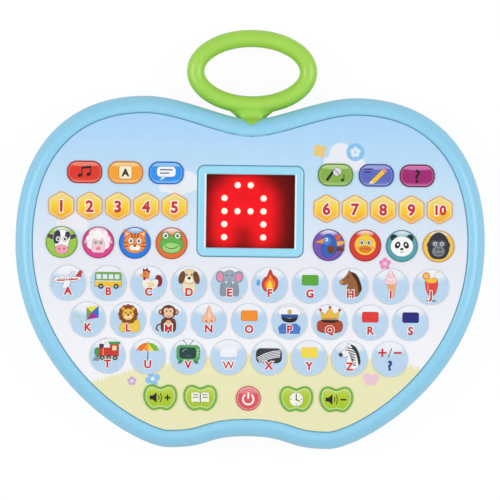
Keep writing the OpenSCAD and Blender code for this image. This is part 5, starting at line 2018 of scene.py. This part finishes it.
COW = Animal("#9ccb4c", "#c6e196", "#6f9a30", [
    *mirrored([Oval(-4.7, 2.4, 1.9, 1.0, "#4b4757", -20),
               Patch([(-1.6, 4.6), (-3.1, 6.6), (-2.9, 4.2)], "#e8dcc0", "#9a8c6c")]),
    Blob([(0.0, 5.4), (2.8, 4.8), (3.8, 2.4), (3.0, -0.8), (2.4, -3.2), (0.0, -4.2), (-2.4, -3.2),
          (-3.0, -0.8), (-3.8, 2.4), (-2.8, 4.8)], "#f8f8f8", "#5b5866"),
    Blob([(-3.7, 2.4), (-2.8, 4.7), (-1.0, 5.0), (-0.5, 2.0), (-1.4, -0.4), (-3.0, -0.6)], "#3c384c"),
    Blob([(3.7, 2.8), (3.2, 4.4), (1.9, 4.6), (1.5, 2.6), (2.6, 1.2)], "#3c384c"),
    Oval(0.0, -3.3, 2.9, 2.0, "#f3a3b6", edge="#b3607a"),
    *mirrored([Oval(-1.1, -3.0, 0.35, 0.5, "#9a4a62")]),
    *eyes(1.6, 1.4, 0.6, 0.95),
])
SHEEP = Animal("#dc4a90", "#ee9bc1", "#a62c67", [
    *mirrored([Oval(-4.8, 0.6, 1.7, 0.9, "#f3b4c6", 25, "#b3607a")]),
    *dots(on_circle(9, 3.6, 0.0, 0.8, 10.0), 1.9, "#fbf4f4", "#d9b6c2"),
    Oval(0.0, 0.8, 3.8, 3.8, "#fbf4f4"),
    Oval(0.0, -1.0, 2.8, 3.6, "#f8cdd6", edge="#c98497"),
    *dots(on_circle(5, 1.4, 0.0, 3.2), 1.0, "#fffafa"),
    Oval(0.0, -2.7, 1.1, 0.8, "#e88aa4"),
    *eyes(1.2, 0.0, 0.5, 0.8),
])
CAT = Animal("#2480e8", "#7fb7f4", "#195bb0", [
    *mirrored([Patch([(-4.6, 1.6), (-4.9, 5.9), (-1.2, 4.2)], "#ee8438", "#a8501c"),
               Patch([(-4.1, 2.8), (-4.3, 4.9), (-2.4, 4.1)], "#f9c9a0")]),
    Oval(0.0, -0.2, 5.0, 4.4, "#f08f42", edge="#a8501c"),
    *[Stroke([(x, 4.1), (x * 0.7, 2.2)], 0.55, "#8e3c16") for x in (-1.5, 0.0, 1.5)],
    *mirrored([Stroke([(-4.8, 0.2), (-3.3, -0.1)], 0.5, "#8e3c16"),
               Stroke([(-4.6, -1.6), (-3.2, -1.4)], 0.5, "#8e3c16")]),
    *mirrored([Oval(-1.0, -2.2, 1.4, 1.2, "#fff6ec")]),
    Oval(0.0, -1.3, 0.7, 0.5, "#7a2d1d"),
    *eyes(1.8, 0.9, 0.6, 1.1),
])
FROG = Animal("#e6743e", "#f3ab8b", "#b54f24", [
    *mirrored([Oval(-2.7, 3.2, 1.9, 1.9, "#63b34c", edge="#35702a")]),
    Oval(0.0, -0.6, 5.2, 3.9, "#63b34c", edge="#35702a"),
    Oval(0.0, -2.0, 3.9, 2.2, "#a6d77e"),
    Stroke([(-3.0, -1.2), (-1.4, -2.2), (0.0, -2.4), (1.4, -2.2), (3.0, -1.2)], 0.35, "#35702a"),
    *eyes(2.7, 3.4, 0.65, 1.15),
])
BIRD = Animal("#7b57b2", "#b09ad4", "#573a86", [
    *[Oval(x, y, 1.0, 2.6, ink, turn) for x, y, turn, ink in (
        (3.6, 3.0, -50, "#e0662f"), (4.6, 0.8, -75, "#f0b03c"), (4.6, -1.6, -100, "#6c3c28"))],
    Blob([(-2.0, 4.2), (0.6, 5.0), (2.8, 3.0), (3.6, 0.0), (3.0, -3.4), (0.4, -5.4), (-2.6, -4.4),
          (-3.0, -1.2), (-2.8, 1.8)], "#3763bb", "#203c78"),
    Oval(-0.9, 2.0, 1.9, 1.9, "#4f86d8"),
    Patch([(-2.6, 2.8), (-6.0, 1.2), (-2.5, 0.6)], "#f09632", "#a8601c"),
    Blob([(-0.4, -0.8), (2.2, -0.4), (2.6, -2.8), (0.4, -4.0)], "#74421f"),
    Oval(-1.1, 2.4, 0.8, 0.8, WHITE), Oval(-1.3, 2.4, 0.4, 0.45, BLACK),
])
DUCK = Animal("#da3b35", "#ec8783", "#a32320", [
    Blob([(-0.8, 4.6), (-0.4, 6.4), (0.6, 5.4), (1.2, 6.0), (0.9, 4.4)], "#f6c531"),
    Oval(0.0, 0.3, 4.7, 4.5, "#f7cb3d", edge="#b98a1c"),
    *mirrored([Oval(-2.9, -1.0, 1.0, 0.7, "#f5a15a")]),
    Oval(0.0, -1.7, 2.6, 1.3, "#ea7c2c", edge="#a84f16"),
    Stroke([(-2.2, -1.6), (0.0, -1.4), (2.2, -1.6)], 0.25, "#a84f16"),
    *eyes(1.6, 1.3, 0.65, 1.0),
])
PANDA = Animal("#55a4b0", "#9bcdd5", "#3a7b86", [
    *mirrored([Oval(-3.6, 3.6, 1.6, 1.6, "#2a2b31")]),
    Oval(0.0, -0.2, 5.0, 4.5, "#fafafa", edge="#8d97a0"),
    *mirrored([Oval(-1.9, 0.4, 1.2, 1.6, "#2a2b31", -25)]),
    Oval(0.0, -1.4, 0.8, 0.55, "#2a2b31"),
    Stroke([(-0.9, -2.6), (0.0, -2.9), (0.9, -2.6)], 0.25, "#2a2b31"),
    *mirrored([Oval(-1.8, 0.6, 0.45, 0.5, WHITE)]),
])
GORILLA = Animal("#f2c658", "#f9e0a4", "#cf9b2d", [
    *mirrored([Oval(-4.2, 0.6, 1.0, 1.4, "#3c3d45")]),
    Blob([(0.0, 6.2), (2.8, 4.8), (4.4, 1.8), (4.6, -1.6), (3.0, -4.8), (0.0, -5.6), (-3.0, -4.8),
          (-4.6, -1.6), (-4.4, 1.8), (-2.8, 4.8)], "#35363e", "#1d1e24"),
    *mirrored([Oval(-1.5, 1.2, 1.7, 1.4, "#6c707c")]),
    Oval(0.0, -2.2, 2.9, 2.4, "#7d818d"),
    *mirrored([Oval(-0.8, -1.3, 0.5, 0.4, "#1d1e24")]),
    Stroke([(-1.6, -3.2), (0.0, -3.5), (1.6, -3.2)], 0.3, "#1d1e24"),
    *eyes(1.5, 1.1, 0.5, 0.75),
])
ANIMALS: tuple[Animal, ...] = (COW, SHEEP, CAT, FROG, BIRD, DUCK, PANDA, GORILLA)

DARK = "#2b1f22"
NOTE: list[Mark | Legend] = [
    Oval(-2.3, -1.7, 1.2, 0.9, DARK, 20), Oval(2.1, -1.1, 1.2, 0.9, DARK, 20),
    Stroke([(-1.3, -1.5), (-1.3, 2.2)], 0.5, DARK), Stroke([(3.1, -0.9), (3.1, 2.8)], 0.5, DARK),
    Patch([(-1.55, 1.5), (-1.55, 2.7), (3.35, 3.3), (3.35, 2.1)], DARK),
]
TILE: list[Mark | Legend] = [
    tile(0.0, 0.0, 6.4, 6.4, 1.1, "#fbeecb", DARK), Legend("A", 3.8, 0.0, DARK, halo_mm=0.0),
]
BUBBLE: list[Mark | Legend] = [
    Patch([(-1.8, -1.6), (-3.2, -3.9), (0.6, -1.8)], "#f2f8ff", DARK),
    tile(0.0, 0.6, 9.6, 5.2, 1.8, "#f2f8ff", DARK),
    Stroke([(-3.2, 1.6), (3.2, 1.6)], 0.55, DARK), Stroke([(-3.2, -0.1), (1.6, -0.1)], 0.55, DARK),
]
MICROPHONE: list[Mark | Legend] = [
    Patch([(-0.4, 1.5), (-4.0, -3.3), (-5.0, -2.5), (-1.5, 2.5)], DARK),
    Oval(0.9, 1.6, 2.2, 2.0, "#d9dee2", 35, DARK), Stroke([(-0.5, 2.7), (2.1, 0.1)], 0.3, DARK),
    Oval(3.6, -2.6, 0.9, 0.7, DARK, 15), Stroke([(4.3, -2.5), (4.3, 0.3)], 0.4, DARK),
]
PENCIL: list[Mark | Legend] = [
    Patch([(-2.6, -2.6), (3.0, 3.0), (4.6, 1.4), (-1.0, -4.2)], "#f6c53f", DARK),
    Patch([(3.0, 3.0), (3.9, 3.9), (5.5, 2.3), (4.6, 1.4)], "#ef8aa0", DARK),
    Patch([(-2.6, -2.6), (-1.0, -4.2), (-3.9, -4.3)], "#fbe6c4", DARK),
    Stroke([(-6.0, 1.6), (-3.0, 1.6)], 0.5, DARK), Stroke([(-6.0, 3.2), (-1.6, 3.2)], 0.5, DARK),
]
QUESTION: list[Mark | Legend] = [Legend("?", 6.6, 0.0, DARK, halo_mm=0.0, weight_mm=0.25)]


def loudspeaker(sign: Sequence[Mark]) -> list[Mark | Legend]:
    """Give the sign for sound with a plus or a minus beside it."""
    return [
        Patch([(-5.4, -1.1), (-3.9, -1.1), (-1.9, -2.8), (-1.9, 2.6), (-3.9, 0.9), (-5.4, 0.9)], DARK),
        Stroke([(-1.0, 1.2), (-0.6, -0.1), (-1.0, -1.4)], 0.4, DARK),
        Stroke([(0.1, 2.2), (0.7, -0.1), (0.1, -2.4)], 0.4, DARK),
        *sign,
    ]


MINUS: list[Mark] = [Stroke([(2.2, -0.1), (5.2, -0.1)], 0.75, DARK)]
PLUS: list[Mark] = [*MINUS, Stroke([(3.7, 1.4), (3.7, -1.6)], 0.75, DARK)]
BOOK: list[Mark | Legend] = [
    *mirrored([Patch([(0.0, -2.6), (0.0, 2.2), (1.6, 2.9), (4.6, 2.6), (4.6, -2.2), (1.6, -1.9)],
                     "#f4f6e4", DARK)]),
    *mirrored([Stroke([(1.1, 1.6), (3.7, 1.5)], 0.35, DARK),
               Stroke([(1.1, 0.3), (3.7, 0.2)], 0.35, DARK)]),
    Stroke([(0.0, -2.7), (0.0, 2.3)], 0.45, DARK),
]
CLOCK: list[Mark | Legend] = [
    Oval(0.0, -0.2, 3.6, 3.6, "#f4f6e4", edge=DARK),
    Stroke([(0.0, 2.3), (0.0, -0.3), (1.9, -1.3)], 0.5, DARK), Oval(0.0, -0.3, 0.4, 0.4, DARK),
    *dots(on_circle(4, 2.8, 0.0, -0.2), 0.28, DARK),
]
POWER: list[Mark | Legend] = [
    Stroke(on_circle(36, 2.7, 0.0, -0.4, 125.0)[:30], 0.85, WHITE),
    Stroke([(0.0, -0.2), (0.0, 3.0)], 0.9, WHITE),
]
LOW_ROW: dict[str, list[Mark | Legend]] = {
    "key_volume_up": loudspeaker(PLUS), "key_story": BOOK, "key_habit": CLOCK,
    "key_volume_down": loudspeaker(MINUS),
}
MODES: tuple[tuple[str, str, str, str, str, list[Mark | Legend]], ...] = (
    ("key_music", "music_key", "#e23a2a", "#f0806c", "#b3261d", NOTE),
    ("key_letter", "letter_key_mode", "#f6a436", "#fbcf8a", "#d6801f", TILE),
    ("key_word", "word_key", "#2f95f0", "#86c2f8", "#1f70c4", BUBBLE),
    ("key_singing", "singing_key", "#87b24c", "#b5d28b", "#648c34", MICROPHONE),
    ("key_spell", "spell_key", "#5f6cc2", "#989fdc", "#454f9c", PENCIL),
    ("key_asking", "asking_key", "#a32873", "#cb72ab", "#7c1b55", QUESTION),
)


# Keys -----------------------------------------------------------------------------------------------

HEAD_SCALE = 1.14
CROWDED = "MW"
LETTER_ROWS = ("ABCDEFGHIJ", "KLMNOPQRS", "TUVWXYZ+")
LETTER_Y, LETTER_PITCH, LETTER_ROW_PITCH = -7.1, 20.6, 18.5
LOW_PLACES, ANIMAL_PLACES = Row(2, 24.5, 20.4, -65.0), Row(4, 40.1, 18.7, 13.7)
NUMBER_PLACES, MODE_PLACES = Row(5, 38.8, 14.45, 32.3), Row(3, 43.2, 20.85, 49.6)
LETTER_MM, LEGEND_Y, THIN_MM = 4.0, -3.9, 0.1
DIGIT_MM, NARROWED = 5.8, 0.82
LETTER_CAP = PrintedKeycap(
    "letter keycap, pad printed", "#bfdaf0", line="#d3dfe8", line_mm=0.12, bow=-0.035,
    tones=((-9.0, "#bcd8f0"), (1.6, "#bcd8f0"), (4.6, "#ecf0f7"), (9.0, "#f2f4f8")),
)
NUMBER_CAP = PrintedKeycap(
    "number keycap, pad printed", "#fdd141", line="#eeab44", line_mm=0.3, bevel=0.3, bevel_mm=0.35,
    tones=((-6.8, "#f0a83c"), (-1.2, "#fdcb36"), (1.0, "#fcd641"), (4.4, "#f1dd84")),
)
APPLE_CAP = PrintedKeycap(
    "apple keycap, pad printed", "#a4c43d", line="#76b340", line_mm=0.9, bevel=0.3, bevel_mm=0.35,
    tones=((-6.4, "#a5c82a"), (1.0, "#b0cc34"), (4.0, "#bfd650"), (6.4, "#c8dc70")),
)
POWER_CAP = PrintedKeycap(
    "power keycap, pad printed", "#df565f", line="#d2565e", line_mm=0.3, bevel=0.3, bevel_mm=0.2,
    tones=((-6.2, "#dd555e"), (1.6, "#de5760"), (2.6, "#e57f85"), (6.2, "#ea9a9e")), bow=-0.03,
)


@dataclass(frozen=True)
class Key:
    """One key: its shape, its middle on the panel, its cap's finish and what is printed on it."""

    shape: KeyShape
    spot: Point
    cap: PrintedKeycap
    marks: Sequence[Mark | Legend]
    scale: float = 1.0


@dataclass
class KeyBody:
    """One moulded body that moves by itself and carries one or more keys."""

    node: str
    slot: str
    keys: Sequence[Key]

    def build(self, ink: Finish) -> None:
        """Build the keys and print on them with an ink."""
        caps = list(dict.fromkeys(key.cap for key in self.keys))
        draft = KeyDraft()
        for key in self.keys:
            draft.blank(key.shape, key.spot, caps.index(key.cap))
            draft.pattern(key.marks, len(caps), key.scale)
        name = self.node + ("_cap" if len(self.keys) == 1 else "_caps")
        piece = draft.build(name, [worn(finish) for finish in (*caps, ink)])
        register(piece, self.node, [self.node])


def letter_key(letter: str, spot: Point) -> KeyBody:
    """Give one round key with a picture over its letter, or over a question mark on the last."""
    node = "key_" + letter.lower()
    weight = THIN_MM if letter in CROWDED else Legend.weight_mm
    legend = Legend(letter, LETTER_MM, LEGEND_Y, weight_mm=weight)
    if letter == "+":
        node = "key_plus_minus"
        legend = Legend("?", 4.8, -3.2, "#2c3f80", halo_mm=0.0, weight_mm=0.3)
    return KeyBody(node, "letter_key", [Key(KeyShape.LETTER, spot, LETTER_CAP, [*ART[letter], legend])])


def number_keys(side: str, first: int, places: Plan) -> KeyBody:
    """Give the six-sided number keys of one side, which count on from the first."""
    keys = []
    for number, spot in enumerate(places, first):
        digits = str(number)
        cap_mm = DIGIT_MM * (1 if len(digits) == 1 else NARROWED)
        legend = Legend(digits, cap_mm, 0.0, weight_mm=0.32, halo_mm=0.75)
        keys.append(Key(KeyShape.NUMBER, spot, NUMBER_CAP, [legend]))
    return KeyBody("number_keys_" + side, "number_key", keys)


def animal_cap(animal: Animal) -> PrintedKeycap:
    """Give the finish of an animal's keycap: its ground, tinted along the upper edge."""
    tones = ((-8.0, animal.ground), (4.4, animal.ground), (5.0, animal.upper), (8.0, "#f4f6f8"))
    name = "animal keycap " + animal.ground[1:]
    return PrintedKeycap(
        name, animal.ground, tones=tones, bow=-0.05, line=animal.line, line_mm=0.25
    )


def mode_cap(ground: str, upper: str, line: str) -> PrintedKeycap:
    """Give the finish of a long keycap: its ground, paler along both edges."""
    tones = ((-5.6, upper), (-3.6, ground), (2.6, ground), (3.2, upper), (5.6, upper))
    name = "mode keycap " + ground[1:]
    return PrintedKeycap(
        name, ground, tones=tones, bow=-0.012, line=line, bevel=0.13, bevel_mm=0.2
    )


def keypad() -> list[KeyBody]:
    """List every body of keys with its place on the panel, from the lowest row to the highest."""
    found = [
        KeyBody(node, "apple_key", [Key(KeyShape.APPLE, spot, APPLE_CAP, marks)])
        for (node, marks), spot in zip(LOW_ROW.items(), LOW_PLACES.places(), strict=True)
    ]
    power = Key(KeyShape.POWER, (0.0, LOW_PLACES.y), POWER_CAP, POWER)
    found.append(KeyBody("key_power", "power_key", [power]))
    for row, letters in enumerate(LETTER_ROWS):
        y = LETTER_Y - row * LETTER_ROW_PITCH
        for i, letter in enumerate(letters):
            found.append(letter_key(letter, ((i - (len(letters) - 1) / 2) * LETTER_PITCH, y)))
    fives, fours = NUMBER_PLACES.each_side, ANIMAL_PLACES.each_side
    for k, side in enumerate(("left", "right")):
        numbers = NUMBER_PLACES.places()[k * fives : (k + 1) * fives]
        found.append(number_keys(side, k * fives + 1, numbers))
        spots = ANIMAL_PLACES.places()[k * fours : (k + 1) * fours]
        animals = ANIMALS[k * fours : (k + 1) * fours]
        found.append(KeyBody("animal_keys_" + side, "animal_key", [
            Key(KeyShape.ANIMAL, spot, animal_cap(animal), animal.marks, HEAD_SCALE)
            for spot, animal in zip(spots, animals, strict=True)
        ]))
    for spot, (node, slot, *inks, marks) in zip(MODE_PLACES.places(), MODES, strict=True):
        found.append(KeyBody(node, slot, [Key(KeyShape.MODE, spot, mode_cap(*inks), marks)]))
    return found


# Studio ---------------------------------------------------------------------------------------------


@dataclass(frozen=True)
class SoftBox:
    """A square soft box that faces the toy: its place and its sides in metres, and its power."""

    name: str
    spot: tuple[float, float, float]
    watts: float
    size: float

    def hang(self) -> None:
        """Hang it, turned towards the middle of the floor."""
        light = bpy.data.lights.new(self.name, "AREA")
        light.energy = self.watts
        light.size = self.size
        lamp = bpy.data.objects.new(self.name, light)
        lamp.location = self.spot
        lamp.rotation_euler = (-Vector(self.spot)).to_track_quat("-Z", "Y").to_euler()
        bpy.context.scene.collection.objects.link(lamp)


@dataclass
class Studio:
    """A pale floor, soft light from four sides and a camera that looks straight down from far away."""

    distance: float = 5.0
    panel_z: float = 20.0
    sensor: float = 36.0
    seen: float = 0.2556
    aim: Point = (0.0, -5.7)
    roll: float = 0.68
    floor_size: float = 12.0
    world: float = 0.55
    lights: tuple[SoftBox, ...] = (
        SoftBox("left light", (-1.5, 0.1, 1.3), 12.0, 1.2),
        SoftBox("right light", (1.5, 0.1, 1.3), 12.0, 1.2),
        SoftBox("upper light", (0.0, 0.9, 2.2), 1.9, 1.0),
        SoftBox("lower light", (0.0, -0.9, 2.2), 2.66, 1.0),
    )
    card_grey: float = 0.8
    card_shine: float = 1.03
    card_cover: float = 0.9
    clip_end: float = 100.0

    def build(self) -> None:
        """Build the floor, the lamps, the surroundings and the camera."""
        self._floor()
        self._world()
        for light in self.lights:
            light.hang()
        self._camera()

    def _floor(self) -> None:
        """Lay the floor: near white to the camera, and dull enough to keep the toy's soft shadow."""
        half = self.floor_size / 2
        mesh = bpy.data.meshes.new("floor")
        corners = [(-half, -half, 0), (half, -half, 0), (half, half, 0), (-half, half, 0)]
        mesh.from_pydata(corners, [], [(0, 1, 2, 3)])
        material = bpy.data.materials.new("white card")
        material.use_nodes = True
        tree = material.node_tree
        tree.nodes.clear()
        seen = add(tree, "ShaderNodeLightPath").outputs["Is Camera Ray"]
        grey = (self.card_grey,) * 3 + (1.0,)
        card = add(tree, "ShaderNodeBsdfDiffuse", {"Color": grey}).outputs[0]
        white = {"Color": (1, 1, 1, 1), "Strength": self.card_shine}
        shine = add(tree, "ShaderNodeEmission", white).outputs[0]
        share = reckon(tree, "MULTIPLY", seen, self.card_cover)
        both = add(tree, "ShaderNodeMixShader", {0: share, 1: card, 2: shine})
        add(tree, "ShaderNodeOutputMaterial", {"Surface": both.outputs[0]})
        mesh.materials.append(material)
        shown(mesh, "floor")

    def _world(self) -> None:
        """Surround everything with an even light that looks white wherever it is seen itself."""
        world = bpy.data.worlds.new("studio")
        world.use_nodes = True
        tree = world.node_tree
        tree.nodes.clear()
        path = add(tree, "ShaderNodeLightPath").outputs
        straight = reckon(tree, "MAXIMUM", path["Is Camera Ray"], path["Is Transmission Ray"])
        glow = {"Color": (1, 1, 1, 1), "Strength": span(tree, straight, at_low=self.world)}
        light = add(tree, "ShaderNodeBackground", glow)
        add(tree, "ShaderNodeOutputWorld", {"Surface": light.outputs[0]})
        bpy.context.scene.world = world

    def _camera(self) -> None:
        """Set the camera over the toy, rolled a little as the toy lies turned."""
        data = bpy.data.cameras.new("camera")
        data.sensor_width = self.sensor
        data.lens = self.sensor * (self.distance - self.panel_z * MM) / self.seen
        data.clip_end = self.clip_end
        camera = bpy.data.objects.new("camera", data)
        camera.location = Vector((self.aim[0] * MM, self.aim[1] * MM, self.distance))
        camera.rotation_euler = (0.0, 0.0, math.radians(self.roll))
        bpy.context.scene.collection.objects.link(camera)
        bpy.context.scene.camera = camera


def main() -> None:
    """Build the toy, then the studio round it."""
    logging.basicConfig(level=logging.INFO, format="%(name)s: %(message)s")
    bpy.context.scene.view_settings.view_transform = "Standard"
    blue = MouldedABS("sky-blue ABS, injection moulded", "#8ed3f2")
    ink = PadPrintInk("pad printing ink", "#ffffff")
    steel = ZincPlatedSteel("zinc-plated steel screws", "#c6cad0")
    laminate = GlassEpoxyLaminate("glass epoxy board, black mask", "#30363a")
    green_board = GlassEpoxyLaminate("glass epoxy board, green mask", "#2f7a4a", weave="#2a6f43")
    front = FrontShell(
        # the frame's blue, painted lighter to stand for the light that falls on its flat top
        blue, MouldedABS("sky-blue ABS, frame painted lighter", "#9adef8"),
        # near-white painted highlight for the frame's left and right inner slopes
        MouldedABS("sky-blue ABS, painted highlight", "#f2f7fb"),
    ).build()
    RearShell(blue).build()
    lime = MouldedPolypropylene("lime polypropylene, injection moulded", "#a3da42")
    CarryHandle(lime).build(front)
    PrintedPanel(BackPrintedFilm("back-printed polycarbonate film", "#ffffff"), ink).build()
    LampDisplay(
        TintedAcrylic("red acrylic sheet", "#62140f"),
        LitSpot("lit lamp behind red acrylic", "#ffffff"),
        CastEpoxy("clear epoxy lamp, lit", "#fff1d8"),
        CastEpoxy("milky epoxy lamp, dark", "#d8d2c6"),
        laminate,
    ).build()
    contacts = CoatedPolyesterFilm("carbon-printed polyester film", "#d8cfa8")
    dress("keypad_membrane", worn(contacts))
    for body in keypad():
        body.build(ink)
    basket = StampedSteel("steel basket, stamped", "#a9adb2")
    paper = PulpPaper("paper cone, felted", "#4a463f")
    jacket = ShrinkFilm("shrink film on the cells", "#2f3338")
    spring = StampedSteel("nickel-plated spring steel", "#c9c4b8")
    rubber = MouldedRubber("soft rubber feet", "#4a5058")
    lead = ExtrudedPVC("soft PVC on the leads", "#c8453b")
    for node, body, slot, finish in (
        ("main_board", "case", "main_board", green_board),
        ("speaker_frame", "case", "speaker_steel", basket),
        ("speaker_cone", "cone", "speaker_paper", paper),
        ("battery_door", "door", "case_blue", blue),
        ("battery_door_screws", "door", "screw_steel", steel),
        ("batteries", "case", "cell_jacket", jacket),
        ("battery_contacts", "case", "contact_plate", spring),
        ("housing_screws", "case", "screw_steel", steel),
        ("rubber_feet", "case", "foot_rubber", rubber),
        ("wire_harness", "case", "wire_cover", lead),
    ):
        CarriedPart(node, body, slot, finish).build()
    Studio().build()


if __name__ == "__main__":
    main()
